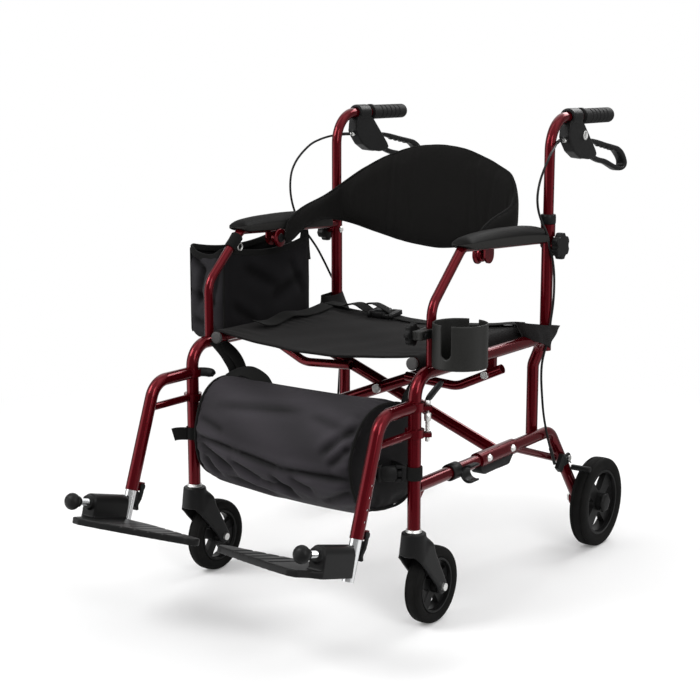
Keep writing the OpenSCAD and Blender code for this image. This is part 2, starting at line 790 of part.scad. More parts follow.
module rear_rim() {
    hub_in = frame_half_w + frame_tube_d / 2 + 2 * cut + side_gap;
    hub_w = rear_tyre_w;
    color(black) translate([rear_wheel_x, axle_y, axle_z])
        rim(rear_rim_r - weld_gap, rear_tyre_w - 6, rear_hub_r, hub_w - 2 * side_gap, axle_d + 2 * running_fit, 4, 14, 5);
    color(black) translate([hub_in, axle_y, axle_z]) difference() {
        rod_x(26, rear_wheel_x - hub_w / 2 - hub_in + 2 * side_gap);
        translate([-cut, 0, 0]) rod_x(axle_d + 2 * running_fit, rear_wheel_x - hub_in);
    }
}

caster_rim_r = caster_r - 22;
caster_hub_r = 15;

// Frame of the left caster's axle
module at_caster() {
    translate([frame_half_w, leg_y + caster_trail, caster_r]) children();
}

module caster_tyre() {
    color(black) at_caster() tyre(caster_d, caster_w, caster_rim_r);
}

module caster_rim() {
    color(black) at_caster()
        rim(caster_rim_r - weld_gap, caster_w - 6, caster_hub_r, caster_w + 2 * fork_gap - 2 * side_gap,
            caster_axle_d + 2 * running_fit, 5, 12, 4);
}

module caster_axle() {
    out = caster_w / 2 + fork_gap + fork_t;
    color(steel) at_caster() {
        translate([-out, 0, 0]) rod_x(caster_axle_d, 2 * out);
        for (s = [0, 1]) mirror([s, 0, 0]) translate([out, 0, 0]) rod_x(15, 5);
    }
}

// Fork: a tapered crown on the swivel and two cheeks that trail back to the axle
module caster_fork() {
    out = caster_w / 2 + fork_gap + fork_t;
    crown_z = fork_top_z - crown_h;
    crown_r = 25;
    hub_r = 16;
    cheek = [
        [-crown_r, fork_top_z - 4], [crown_r, fork_top_z - 4], [crown_r + 14, crown_z],
        [caster_trail + hub_r - 2, caster_r + 8], [caster_trail - 4, caster_r - hub_r],
        [caster_trail - hub_r - 8, caster_r + 10], [-10, crown_z - 12], [-crown_r - 4, crown_z + 4]
    ];
    clear_r = caster_r + 6;
    color(black) difference() {
        union() {
            translate([frame_half_w, leg_y, crown_z]) cylinder(r1 = out, r2 = crown_r, h = crown_h);
            for (s = [-1, 1]) translate([frame_half_w + s * (out - fork_t / 2) - fork_t / 2, leg_y, 0])
                plate_x(fork_t) union() {
                    polygon(cheek);
                    translate([caster_trail, caster_r]) circle(r = hub_r);
                }
            translate([frame_half_w, leg_y, fork_top_z - cut]) cylinder(d = stem_d, h = stem_l + cut);
        }
        at_caster() translate([-caster_w / 2 - fork_gap, 0, 0]) rod_x(2 * clear_r, caster_w + 2 * fork_gap);
        at_caster() translate([-2 * out, 0, 0]) rod_x(caster_axle_d + 2 * weld_gap, 4 * out);
    }
}

// Footrests

module hanger_line(wall, grow = 0) {
    steps = [[hanger_run - cope_start, 180, hanger_bend_r, hanger_bend], [hanger_l]];
    translate([frame_half_w, leg_y - cope_start, hanger_z]) rotate([90, 0, 0])
        bent_tube(hanger_tube_d + 2 * grow, wall, steps);
}

// Frame at the hanger's lower end: +Z runs up the tube
module at_hanger_end() {
    translate([frame_half_w, hanger_end_y, hanger_end_z]) rotate([-hanger_slope, 0, 0]) children();
}

// Frame at the footplate's hinge rod: +Y runs back along the rod, +X outwards
module at_rod() {
    translate([frame_half_w, rod_y, rod_z]) rotate([-plate_pitch, 0, 0]) children();
}

// Swing-away hanger: two rings on the front leg, the bent tube, a lower bar and the length lock's lug
module footrest_hanger() {
    bar_d = 15;
    bar_l = leg_y - hanger_end_y - 60;
    ear = 17;
    ring_bore_d = frame_tube_d + 2 * running_fit;
    hole_d = 6;
    holes = 4;
    pitch = 22;
    bite = 0.6;
    ear_from = hanger_ring_d / 2 - 4;
    color(red) difference() {
        union() {
            hanger_line(tube_wall);
            difference() {
                translate([frame_half_w, leg_y, hanger_low_z]) rotate([90, 0, 0]) cylinder(d = bar_d, h = bar_l);
                hanger_line(0, -bite);
            }
            for (z = [hanger_z, hanger_low_z]) translate([frame_half_w, leg_y, z - hanger_ring_h / 2]) {
                cylinder(d = hanger_ring_d, h = hanger_ring_h);
                rotate([0, 0, 40]) translate([ear_from, -ear / 2, 1]) cube([ear, ear, hanger_ring_h / 2]);
            }
            difference() {
                at_hanger_end() translate([-lug_w / 2, 0, 1]) cube([lug_w, lug_reach, lug_h]);
                hanger_line(0, -bite);
            }
        }
        translate([frame_half_w, leg_y, hanger_low_z - 50]) cylinder(d = ring_bore_d, h = 200);
        for (i = [0:holes - 1]) at_hanger_end() translate([0, 0, 32 + i * pitch]) rod_x(hole_d, hanger_tube_d);
        at_hanger_end() translate([-lug_w, lug_pin[0], lug_pin[1]]) rod_x(lug_pin_d + 2 * running_fit, 2 * lug_w);
    }
}

// Inner tube that sets the footrest's length, with a cross bore for the hinge rod
module footrest_tube() {
    color(steel) difference() {
        at_hanger_end() translate([0, 0, -foot_tube_out]) difference() {
            cylinder(d = foot_tube_d, h = foot_tube_out + foot_tube_in);
            translate([0, 0, rod_below + foot_rod_d]) translate([0, 0, foot_tube_out - rod_below])
                cylinder(d = foot_tube_d - 2 * tube_wall, h = foot_tube_in + foot_tube_out);
        }
        at_rod() translate([0, -rod_l, 0]) rod_y(foot_rod_d + 2 * running_fit, 2 * rod_l);
    }
}

// Hinge rod with the ball knob that it is pulled by
module footrest_pivot() {
    color(steel) at_rod() {
        translate([0, -rod_l, 0]) rod_y(foot_rod_d, rod_l + foot_tube_d / 2);
        translate([0, -rod_l, 0]) sphere(r = ball_r);
    }
}

// Footplate: a hinge barrel over a deep rib, and a plate that narrows towards the middle of the chair
module footplate() {
    reach = plate_reach;
    tip_r = 18;
    outline = [
        [hinge_r, -plate_rear - 2], [-hinge_r - 60, -plate_rear - 2], [-reach + 76, -plate_rear - 22],
        [-reach + tip_r, -52], [-reach + tip_r, -52 - 2 * tip_r], [-reach + 80, -114], [-70, -148],
        [-24, -plate_front], [-6, -plate_front + 4], [2, -hinge_front - 16], [hinge_r, -hinge_front]
    ];
    rib_r = 4;
    color(black) at_rod() difference() {
        union() {
            translate([0, -hinge_front, 0]) rod_y(2 * hinge_r, hinge_front - plate_rear);
            translate([-hinge_r, -hinge_front, -plate_drop]) cube([2 * hinge_r, hinge_front - plate_rear, plate_drop]);
            translate([0, 0, -plate_drop]) linear_extrude(plate_t) union() {
                polygon(outline);
                translate([-reach + tip_r, -52 - tip_r]) circle(r = tip_r);
            }
            translate([0, -hinge_front - 8, 0]) rod_y(2 * hinge_r - 6, 10);
        }
        translate([0, -rod_l, 0]) rod_y(foot_rod_d + 2 * running_fit, 2 * rod_l);
        translate([0, -rod_l - 4, 0]) rod_y(2 * (ball_r + 2), rod_l - hinge_front - 4);
        for (i = [0:4]) translate([-reach + 60 + i * 26, -136, -plate_drop + plate_t + rib_r * 0.6])
            rod_y(2 * rib_r, 106);
    }
}

// Lever of the length lock: two cheeks on the lug's pin and a thumb blade below
module footrest_lever() {
    cheek_t = 4;
    cheek_r = 7;
    w = lug_w + 2 * side_gap + 2 * cheek_t;
    blade = [[-5, -12], [5, -12], [4, -24], [-2, -38], [2, -46], [-4, -49], [-9, -40], [-4, -26]];
    color(black) at_hanger_end() translate([-w / 2, lug_pin[0], lug_pin[1]]) difference() {
        union() {
            rod_x(2 * cheek_r, w);
            translate([0, -5, -13]) cube([w, 10, 13]);
            plate_x(w) polygon(blade);
        }
        translate([cheek_t, -2 * cheek_r, -11.5]) cube([lug_w + 2 * side_gap, 4 * cheek_r, 4 * cheek_r]);
    }
    color(black) at_hanger_end() translate([-w / 2, lug_pin[0], lug_pin[1]]) rod_x(lug_pin_d, w);
}

// Cross brace

// Wavy tube from a bracket under the seat rail to the front of a brace tube
module stay_link(link_y) {
    run = 62;
    level = 3;
    flat_l = (frame_half_w - stay_in_x - run * cos(stay_fall) - stay_bend_r * (sin(stay_fall) + sin(level))) / cos(level);
    steps = [[stay_tail + run, 0, stay_bend_r, stay_fall + level], [flat_l + 8]];
    turn = 90 + stay_fall;
    color(red) difference() {
        translate([frame_half_w + stay_tail * cos(stay_fall), link_y, stay_pivot_z + stay_tail * sin(stay_fall)])
            rotate([0, 0, -90]) rotate([turn, 0, 0]) bent_tube(stay_tube_d, tube_wall, steps);
        translate([frame_half_w, link_y - stay_tube_d, stay_pivot_z])
            rod_y(stay_bolt_d + 2 * running_fit, 2 * stay_tube_d);
    }
}

// Frame of a brace tube: origin at the crossing, +Z runs up the tube towards the other side
module on_brace() {
    translate([0, 0, brace_cross_z]) rotate([0, -90 + brace_angle, 0]) children();
}

// Stub that carries the seat tube on the brace tube
module seat_tube_stub(y) {
    d = 15;
    foot_x = seat_tube_x - 17;
    foot_z = brace_cross_z + foot_x * tan(brace_angle);
    run = [foot_x - seat_tube_x, seat_tube_z - foot_z];
    translate([-foot_x, y, foot_z]) rotate([0, atan2(run[0], run[1]), 0]) cylinder(d = d, h = norm(run));
}

// One brace: tube, sleeve on the left lower rail, and the seat tube on its upper end
module brace(y, hole_d) {
    color(red) difference() {
        union() {
            difference() {
                union() {
                    translate([0, y, 0]) on_brace() translate([0, 0, -brace_half_l])
                        linear_extrude(brace_half_l + brace_top_l) section(brace_tube_d, tube_wall);
                    seat_tube_stub(y);
                }
                translate([0, y, 0]) on_brace() translate([0, 0, -brace_half_l])
                    rotate([0, -brace_angle - fold_limit, 0])
                        translate([-2 * brace_half_l, -brace_tube_d, brace_fold_reach])
                            cube([4 * brace_half_l, 2 * brace_tube_d, brace_half_l]);
            }
            translate([frame_half_w, brace_y - sleeve_l / 2, lower_rail_z])
                rod_y(sleeve_bore_d + 2 * sleeve_wall, sleeve_l);
            translate([-seat_tube_x, seat_tube_y, seat_tube_z]) rod_y(seat_tube_d, seat_tube_l);
        }
        translate([frame_half_w, brace_y - sleeve_l, lower_rail_z]) rod_y(sleeve_bore_d, 2 * sleeve_l);
        translate([0, y - brace_tube_d, brace_cross_z]) rod_y(hole_d, 2 * brace_tube_d);
    }
}

module cross_brace_a() {
    brace(brace_y + brace_step, brace_bolt_d + 2 * weld_gap);
}

module cross_brace_b() {
    mirror([1, 0, 0]) brace(brace_y - brace_step, brace_bolt_d + 2 * running_fit);
}

module brace_pivot_bolt() {
    l = 2 * brace_tube_d + side_gap;
    head_h = 6;
    color(steel) translate([0, brace_y - l / 2 - side_gap, brace_cross_z]) {
        rod_y(brace_bolt_d, l + 2 * side_gap);
        translate([0, -head_h, 0]) rod_y(19, head_h);
        translate([0, l + 2 * side_gap, 0]) rod_y(17, 8);
    }
}

// Soft parts

// Height of the seat cloth's underside across the chair
function sling_z(x) = seat_tube_z + seat_tube_d / 2 + side_gap + 0.5 - seat_sag * (1 - pow(x / seat_tube_x, 2));

// Strip of cloth that follows the seat, drawn across the chair
module sling_strip(lift, t, half) {
    n = 24;
    top = [for (i = [0:n]) let (x = -half + 2 * half * i / n) [x, sling_z(x) + lift + t]];
    low = [for (i = [n:-1:0]) let (x = -half + 2 * half * i / n) [x, sling_z(x) + lift]];
    polygon(concat(top, low));
}

module seat_sling() {
    sleeve_r = seat_tube_d / 2 + side_gap;
    front = seat_tube_y + 8;
    l = seat_tube_l - 16;
    notch = brace_tube_d + 4;
    color(black) difference() {
        union() {
            translate([0, front + l, 0]) rotate([90, 0, 0]) linear_extrude(l) sling_strip(0, seat_cloth_t, seat_tube_x);
            for (s = [-1, 1]) translate([s * seat_tube_x, front, seat_tube_z]) rod_y(2 * (sleeve_r + seat_cloth_t), l);
        }
        for (s = [-1, 1]) {
            translate([s * seat_tube_x, front - cut, seat_tube_z]) rod_y(2 * sleeve_r, l + 2 * cut);
            translate([s * seat_tube_x - notch / 2, brace_y - s * brace_step - notch / 2, seat_tube_z - notch])
                cube([notch, notch, notch - 3]);
        }
    }
}

// Lap belt that lies across the seat, with its buckle
module seat_belt() {
    belt_w = 38;
    belt_t = 2;
    belt_y = leg_y + 0.855 * frame_depth;
    lift = seat_cloth_t + side_gap;
    buckle = [62, 46, 14];
    buckle_x = 70;
    color(black) {
        translate([0, belt_y + belt_w / 2, 0]) rotate([90, 0, 0]) linear_extrude(belt_w)
            sling_strip(lift, belt_t, seat_tube_x - 16);
        translate([buckle_x - buckle[0] / 2, belt_y - buckle[1] / 2, sling_z(buckle_x) + lift + belt_t - 1]) cube(buckle);
    }
}

// Back pad: a padded band that runs from one pivot round the back to the other
// c falls from 1 at the middle of the back to 0 at the pivots
function back_plan(c, s) = [s * back_half_w * sqrt(1 - pow(c, 4.8)), back_pivot_y + back_depth * pow(c, 0.6)];
function back_height(c) = back_end_h + (back_pad_h - back_end_h) * pow(c, 4.1);
function back_mid(c) = back_pivot_z + back_rise * (1 - pow(1 - pow(c, 0.6), 4)) + back_crest * pow(c, 2.2);
function back_thick(c) = back_end_t + (back_pad_t - back_end_t) * pow(c, 1.8);
function back_at(b) = back_plan(max(0, cos(b)), sign(b));

module backrest() {
    stations = 36;
    sides = 16;
    boss_d = 16;
    boss_in = back_half_w + back_end_t / 2 + 2 * side_gap;
    boss_out = frame_half_w - 11;
    pin_end = frame_half_w - back_bracket_in - side_gap;
    ring = [for (i = [0:stations]) let (
            b = -90 + 180 * i / stations,
            c = max(0, cos(b)),
            p = back_at(b),
            q = back_at(min(90, b + 0.5)) - back_at(max(-90, b - 0.5)),
            out = unit([-q[1], q[0]]))
        [for (k = [0:sides - 1]) let (
                a = k * 360 / sides,
                u = sign(cos(a)) * pow(abs(cos(a)), 0.7) * back_thick(c) / 2,
                v = sign(sin(a)) * pow(abs(sin(a)), 0.45) * back_height(c) / 2)
            [p[0] + u * out[0], p[1] + u * out[1], back_mid(c) + v]]];
    n = stations + 1;
    walls = [for (i = [0:n - 2], k = [0:sides - 1]) let (m = (k + 1) % sides) each [
        [i * sides + k, (i + 1) * sides + k, (i + 1) * sides + m],
        [i * sides + k, (i + 1) * sides + m, i * sides + m]]];
    first = [for (k = [0:sides - 1]) k];
    last = [for (k = [sides - 1:-1:0]) (n - 1) * sides + k];
    color(black) polyhedron([for (r = ring) each r], concat(walls, [first, last]));
    color(black) for (s = [0, 1]) mirror([s, 0, 0]) translate([0, back_pivot_y, back_pivot_z]) difference() {
        translate([boss_in, 0, 0]) rod_x(boss_d, boss_out - boss_in);
        translate([pin_end, 0, 0]) rod_x(back_pin_d + 2 * running_fit, back_bracket_in);
    }
}

// Bag that hangs below the front of the seat: a D-shaped section across the chair
module under_seat_bag() {
    r = 84;
    low_r = 100;
    l = seat_bag_l;
    h = seat_bag_h;
    strap_h = 26;
    strap_t = 2.5;
    strap_z = lower_rail_z + frame_tube_d / 2 + 2.3;
    loop_d = frame_tube_d + 2 * side_gap;
    color(black) for (s = [0, 1]) mirror([s, 0, 0]) translate([frame_half_w, leg_y, strap_z]) difference() {
        union() {
            cylinder(d = loop_d + 2 * strap_t, h = strap_h);
            translate([seat_bag_w / 2 - frame_half_w - cut, -strap_t / 2, 0])
                cube([frame_half_w - seat_bag_w / 2, strap_t, strap_h]);
        }
        translate([0, 0, -cut]) cylinder(d = loop_d, h = strap_h + 2 * cut);
    }
    color(black) translate([-seat_bag_w / 2, seat_bag_y, seat_bag_z]) plate_x(seat_bag_w) union() {
        translate([r, h - r]) circle(r = r);
        translate([l - r, h - r]) circle(r = r);
        translate([low_r, low_r]) circle(r = low_r);
        translate([l - low_r, low_r]) circle(r = low_r);
        translate([r, low_r]) square([l - 2 * r, h - low_r]);
        translate([0, low_r]) square([l, h - low_r - r]);
        translate([low_r, 0]) square([l - 2 * low_r, h / 2]);
    }
}

// Open pouch outside the right side frame, hung from the arm tube by two loops
module side_bag() {
    r = 22;
    loop_w = 26;
    loop_t = 2;
    loop_bore = arm_tube_d + 2 * side_gap;
    strap_at = 222;
    strap_w = 32;
    strap_l = 30;
    w = side_bag_w;
    l = side_bag_l;
    color(black) {
        translate([-side_bag_x - w, side_bag_y, side_bag_z]) difference() {
            rounded_box(w, l, side_bag_h, r);
            translate([side_bag_wall, side_bag_wall, side_bag_wall])
                rounded_box(w - 2 * side_bag_wall, l - 2 * side_bag_wall, side_bag_h, r - side_bag_wall);
        }
        mirror([1, 0, 0]) on_arm_slope() translate([0, arm_slope_l - loop_w - 8, 0])
            side_bag_loop(loop_w, loop_t, loop_bore);
        mirror([1, 0, 0]) on_arm() translate([loop_bore / 2, strap_at, -pad_under - side_gap - strap_l])
            cube([loop_t + 4, strap_w, strap_l]);
    }
}

// Upright box with round corners in plan
module rounded_box(w, l, h, r) {
    linear_extrude(h) union() {
        translate([r, 0]) square([w - 2 * r, l]);
        translate([0, r]) square([w, l - 2 * r]);
        for (x = [r, w - r], y = [r, l - r]) translate([x, y]) circle(r = r);
    }
}

// Loop round the arm tube with a tab down to the bag's inner wall
module side_bag_loop(w, t, bore) {
    tab = 44;
    rotate([-90, 0, 0]) linear_extrude(w) difference() {
        union() {
            circle(d = bore + 2 * t);
            translate([bore / 2, 0]) square([t + 4, tab]);
        }
        circle(d = bore);
    }
}

// Cup holder with two slots, clamped on the left arm tube
module cup_holder() {
    ear_t = 9;
    ear_gap = 4;
    slot_low = 22;
    ear_y = arm_y - clamp_screw_y + 11;
    color(black) difference() {
        union() {
            translate([cup_x, arm_y, cup_z]) cylinder(d = cup_d, h = cup_h);
            translate([frame_half_w, arm_y, clamp_z - clamp_h / 2]) cylinder(d = clamp_d, h = clamp_h);
            translate([frame_half_w, arm_y - 7, clamp_z - clamp_h / 2])
                cube([cup_x - frame_half_w - cup_d / 2 + cup_wall, 14, clamp_h]);
            translate([frame_half_w - ear_t - ear_gap / 2, arm_y - ear_y, clamp_z - clamp_h / 2])
                cube([2 * ear_t + ear_gap, ear_y, clamp_h]);
        }
        translate([cup_x, arm_y, cup_z + cup_wall]) cylinder(d = cup_d - 2 * cup_wall, h = cup_h);
        for (s = [-1, 1]) translate([cup_x, arm_y, cup_z + slot_low]) rotate([90, 0, 0]) {
            translate([0, cup_slot_w / 2, s > 0 ? 0 : -cup_d]) cylinder(d = cup_slot_w, h = cup_d);
            translate([-cup_slot_w / 2, cup_slot_w / 2, s > 0 ? 0 : -cup_d]) cube([cup_slot_w, cup_h, cup_d]);
        }
        translate([frame_half_w, arm_y, rail_z]) cylinder(d = arm_tube_d + 2 * weld_gap, h = arm_rise);
        translate([frame_half_w - ear_gap / 2, arm_y - ear_y - cut, clamp_z - clamp_h])
            cube([ear_gap, ear_y + cut, 2 * clamp_h]);
        translate([frame_half_w - 2 * ear_t, clamp_screw_y, clamp_z]) rod_x(clamp_screw_d + 2 * running_fit, 4 * ear_t);
    }
}

module cup_clamp_knob() {
    ear_out = 11 + side_gap;
    color(black) translate([frame_half_w - ear_out, clamp_screw_y, clamp_z]) {
        translate([-cup_knob_t, 0, 0]) star_knob(cup_knob_d, cup_knob_t, 7);
        translate([-cut, 0, 0]) rod_x(clamp_screw_d, 2 * ear_out + cut);
        translate([2 * ear_out, 0, 0]) rod_x(10, 4);
    }
}

// Planes of the two stay links
left_link_y = brace_y - brace_step - brace_tube_d / 2 - side_gap - stay_tube_d / 2;
right_link_y = brace_y + brace_step - brace_tube_d / 2 - side_gap - stay_tube_d / 2;

module right() {
    mirror([1, 0, 0]) children();
}

side_frame(left_link_y);  // left_side_frame
lower_rail();  // left_lower_rail
arm_tube();  // left_arm_tube
rear_post();  // left_rear_post
armrest_pad();  // left_armrest_pad
frame_bolts(left_link_y);  // left_frame_bolts
handle_tube();  // left_handle_tube
grip();  // left_grip
brake_housing();  // left_brake_housing
brake_lever();  // left_brake_lever
height_knob();  // left_height_knob
brake_cable();  // left_brake_cable
brake_shoe();  // left_brake_shoe
rear_tyre();  // left_rear_tyre
rear_rim();  // left_rear_rim
caster_fork();  // left_caster_fork
caster_tyre();  // left_caster_tyre
caster_rim();  // left_caster_rim
caster_axle();  // left_caster_axle
footrest_hanger();  // left_footrest_hanger
footrest_tube();  // left_footrest_tube
footrest_pivot();  // left_footrest_pivot
footplate();  // left_footplate
footrest_lever();  // left_footrest_lever
stay_link(left_link_y);  // left_stay_link
right() side_frame(right_link_y);  // right_side_frame
right() lower_rail();  // right_lower_rail
right() arm_tube();  // right_arm_tube
right() rear_post();  // right_rear_post
right() armrest_pad();  // right_armrest_pad
right() frame_bolts(right_link_y);  // right_frame_bolts
right() handle_tube();  // right_handle_tube
right() grip();  // right_grip
right() brake_housing();  // right_brake_housing
right() brake_lever();  // right_brake_lever
right() height_knob();  // right_height_knob
right() brake_cable();  // right_brake_cable
right() brake_shoe();  // right_brake_shoe
right() rear_tyre();  // right_rear_tyre
right() rear_rim();  // right_rear_rim
right() caster_fork();  // right_caster_fork
right() caster_tyre();  // right_caster_tyre
right() caster_rim();  // right_caster_rim
right() caster_axle();  // right_caster_axle
right() footrest_hanger();  // right_footrest_hanger
right() footrest_tube();  // right_footrest_tube
right() footrest_pivot();  // right_footrest_pivot
right() footplate();  // right_footplate
right() footrest_lever();  // right_footrest_lever
right() stay_link(right_link_y);  // right_stay_link
cross_brace_a();
cross_brace_b();
brace_pivot_bolt();
seat_sling();
seat_belt();
backrest();
under_seat_bag();
side_bag();
cup_holder();
cup_clamp_knob();
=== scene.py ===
import json
import math
import bmesh
import bpy
import numpy as np
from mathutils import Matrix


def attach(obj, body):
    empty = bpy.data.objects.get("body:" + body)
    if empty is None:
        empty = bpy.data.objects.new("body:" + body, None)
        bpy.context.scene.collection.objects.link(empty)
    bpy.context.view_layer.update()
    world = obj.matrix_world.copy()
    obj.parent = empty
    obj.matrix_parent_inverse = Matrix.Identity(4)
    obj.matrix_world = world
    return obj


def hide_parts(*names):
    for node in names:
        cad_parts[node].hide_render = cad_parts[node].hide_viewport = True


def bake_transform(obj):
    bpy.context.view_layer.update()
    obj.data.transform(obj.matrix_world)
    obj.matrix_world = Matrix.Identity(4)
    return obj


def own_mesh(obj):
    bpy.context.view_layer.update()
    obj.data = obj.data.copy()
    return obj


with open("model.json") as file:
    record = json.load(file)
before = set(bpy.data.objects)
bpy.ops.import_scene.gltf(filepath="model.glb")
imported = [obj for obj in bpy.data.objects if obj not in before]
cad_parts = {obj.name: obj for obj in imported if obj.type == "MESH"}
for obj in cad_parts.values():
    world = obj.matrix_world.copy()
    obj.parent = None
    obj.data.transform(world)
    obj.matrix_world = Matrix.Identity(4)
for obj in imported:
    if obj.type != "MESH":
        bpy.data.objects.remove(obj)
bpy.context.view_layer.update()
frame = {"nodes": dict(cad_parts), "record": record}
print("frame loaded:", len(frame["nodes"]), "nodes")

bothSides = ((1, "left"), (-1, "right"))  # the chair's own left is +X
frameX = 0.273  # each side frame's distance from the middle
legY, postY = -0.251, 0.261  # front leg and rear post
acrossAxis, alongAxis, upAxis = (1, 0, 0), (0, 1, 0), (0, 0, 1)


# shader maths: a socket that can be added, multiplied and so on

class Sock:
    def __init__(self, net, out):
        self.net = net
        self.out = out

    def other(self, name):  # another output of the same node
        return Sock(self.net, self.out.node.outputs[name])

    def maths(self, operation, a, b):
        return self.net.add("ShaderNodeMath", {"operation": operation}, {0: a, 1: b})

    def __add__(self, other):
        return self.maths("ADD", self, other)

    def __radd__(self, other):
        return self.maths("ADD", other, self)

    def __sub__(self, other):
        return self.maths("SUBTRACT", self, other)

    def __rsub__(self, other):
        return self.maths("SUBTRACT", other, self)

    def __mul__(self, other):
        return self.maths("MULTIPLY", self, other)

    def __rmul__(self, other):
        return self.maths("MULTIPLY", other, self)


class Net:
    def __init__(self, owner):  # the nodes of a material or of the world
        owner.use_nodes = True
        self.owner = owner
        self.tree = owner.node_tree
        self.shader = self.tree.nodes.get("Principled BSDF")

    def add(self, kind, settings, inputs, out=0):  # any node: its settings first, then its sockets
        node = self.tree.nodes.new(kind)
        for key, value in settings.items():
            setattr(node, key, value)
        for key, value in inputs.items():
            self.feed(node.inputs[key], value)
        return Sock(self, node.outputs[out])

    def feed(self, socket, value):
        if isinstance(value, Sock):
            self.tree.links.new(value.out, socket)
        else:
            socket.default_value = (*value, 1) if socket.type == "RGBA" else value

    def put(self, **sockets):  # Base_Color=... and so on, on the shader
        for key, value in sockets.items():
            self.feed(self.shader.inputs[key.replace("_", " ")], value)
        return self.owner

    def coords(self, kind):
        return self.add("ShaderNodeTexCoord", {}, {}, kind)

    def shade(self):  # the piece's own point values: 0 in valleys for painted shade and on the black panels for their own colour, 1 on ridges for painted highlight and on walls painted paler
        return self.add("ShaderNodeAttribute", {"attribute_name": "shade"}, {}, "Fac")

    def noise(self, vector, scale, detail=2.0, rough=0.5):
        inputs = {"Vector": vector, "Scale": scale, "Detail": detail, "Roughness": rough}
        return self.add("ShaderNodeTexNoise", {}, inputs)

    def mix(self, factor, a, b):
        return self.add("ShaderNodeMix", {"data_type": "RGBA"}, {0: factor, 6: a, 7: b}, 2)

    def ramp(self, value, low, high):  # 0 below low, 1 above high
        inputs = {"Value": value, "From Min": low, "From Max": high}
        return self.add("ShaderNodeMapRange", {"clamp": True}, inputs)

    def bump(self, height, strength, distance):
        inputs = {"Height": height, "Strength": strength, "Distance": distance}
        return self.add("ShaderNodeBump", {}, inputs)

    def sine(self, value):
        return self.add("ShaderNodeMath", {"operation": "SINE"}, {0: value})

    def vector(self, operation, a, b=None, out=0):
        inputs = {0: a} if b is None else {0: a, 1: b}
        return self.add("ShaderNodeVectorMath", {"operation": operation}, inputs, out)


def newLook(name):
    return Net(bpy.data.materials.new(name))


def tint(colour, times, plus=0.0):  # a colour made paler or darker
    return tuple(c * times + plus for c in colour)


# finishes

paintLook = {"deep": (0.066, 0.0006, 0.0030), "bright": (0.122, 0.0012, 0.0060), "rough": 0.13,
             "flake": 900.0, "cloud": 9.0, "metal": 0.62, "coat": 0.18, "gloss": 0.1}


def paintedTube():  # metallic lacquer: fine flakes under a clear coat
    s = paintLook
    net = newLook("burgundyLacquer")
    place = net.coords("Object")
    flake = net.ramp(net.noise(place, s["flake"], 1.0), 0.35, 0.65)
    cloud = net.noise(place, s["cloud"], 3.0)
    tone = net.mix(flake * 0.55 + cloud * 0.45, s["deep"], s["bright"])
    net.put(Metallic=s["metal"], Specular_IOR_Level=s["gloss"])
    net.put(Coat_Weight=s["coat"], Coat_Roughness=0.03, Coat_IOR=1.5)
    return net.put(Base_Color=tone, Roughness=s["rough"] + cloud * 0.08)


plasticLook = {"cloud": 14.0, "scuff": 0.14, "paintedLitWall": 5, "pit": 0.0004}


# fine spark-eroded grain and faint scuffs; a shaded one has painted light: its side walls are painted paler
def mouldedPlastic(name, colour, rough, grain=700.0, depth=0.25, gloss=0.11, shaded=False):
    s = plasticLook
    net = newLook(name)
    place = net.coords("Object")
    fine = net.noise(place, grain, 2.0)
    cloud = net.noise(place, s["cloud"], 4.0)
    tone = net.mix(cloud * 0.8, colour, tint(colour, 1.5, 0.002))
    if shaded:
        # painted light: the side walls are painted paler where the shade values are high
        tone = net.mix(net.shade(), tone, tint(colour, s["paintedLitWall"]))
    net.put(Specular_IOR_Level=gloss)
    return net.put(Base_Color=tone, Roughness=rough + cloud * s["scuff"] - s["scuff"] / 2,
                   Normal=net.bump(fine, depth, s["pit"]))


def platedSteel(name, colour, rough, streak):  # bright plating with faint drawn streaks
    net = newLook(name)
    place = net.coords("Object")
    cloud = net.noise(place, 60.0, 3.0)
    fine = net.noise(place, streak, 2.0)
    net.put(Metallic=1.0)
    return net.put(Base_Color=net.mix(cloud, tint(colour, 0.82), colour), Roughness=rough + fine * 0.10)


rubberLook = {"dust": 30.0, "grain": 1100.0, "rough": 0.72, "gloss": 0.08}


def tyreRubber(name, colour):  # dull rubber with dusty patches
    s = rubberLook
    net = newLook(name)
    place = net.coords("Object")
    cloud = net.noise(place, s["dust"], 5.0, 0.6)
    fine = net.noise(place, s["grain"], 2.0)
    tone = net.mix(net.ramp(cloud, 0.35, 0.75), colour, tint(colour, 1.6, 0.001))
    net.put(Specular_IOR_Level=s["gloss"])
    return net.put(Base_Color=tone, Roughness=s["rough"] + cloud * 0.16, Normal=net.bump(fine, 0.3, 0.0005))


clothLook = {"cloud": 16.0, "yarn": 260.0, "valleyShade": 0.25, "ridgeHighlight": 3.2, "sheen": 0.02}


# plain weave on the piece's own UV map, in metres; a shaded one has painted shade in its valleys and a painted
# highlight on its ridges
def wovenCloth(name, colour, threads, rough=0.86, crease=0.35, gloss=0.07, shaded=False):
    s = clothLook
    net = newLook(name)
    uv = net.coords("UV")
    turn = 2 * math.pi * threads
    along = net.add("ShaderNodeSeparateXYZ", {}, {0: uv})
    weave = net.sine(along * turn) * net.sine(along.other(1) * turn) * 0.5 + 0.5
    cloud = net.noise(uv, s["cloud"], 4.0, 0.55)
    yarn = net.noise(uv, s["yarn"], 2.0)
    tone = net.mix(weave * 0.35 + cloud * 0.45 + yarn * 0.2, colour, tint(colour, 1.9, 0.002))
    # painted shade in the valleys and painted highlight on the ridges, from the shade values
    if shaded:
        ridgeHighlight = net.mix(0.6, tone, tint(colour, s["ridgeHighlight"]))
        tone = net.mix(net.shade(), tint(colour, s["valleyShade"]), ridgeHighlight)
    net.put(Sheen_Weight=s["sheen"], Sheen_Roughness=0.5, Specular_IOR_Level=gloss)
    return net.put(Base_Color=tone, Roughness=rough + cloud * 0.1,
                   Normal=net.bump(weave * 0.5 + cloud * crease * 4.0 + yarn * 0.4, 0.35, 0.0006))


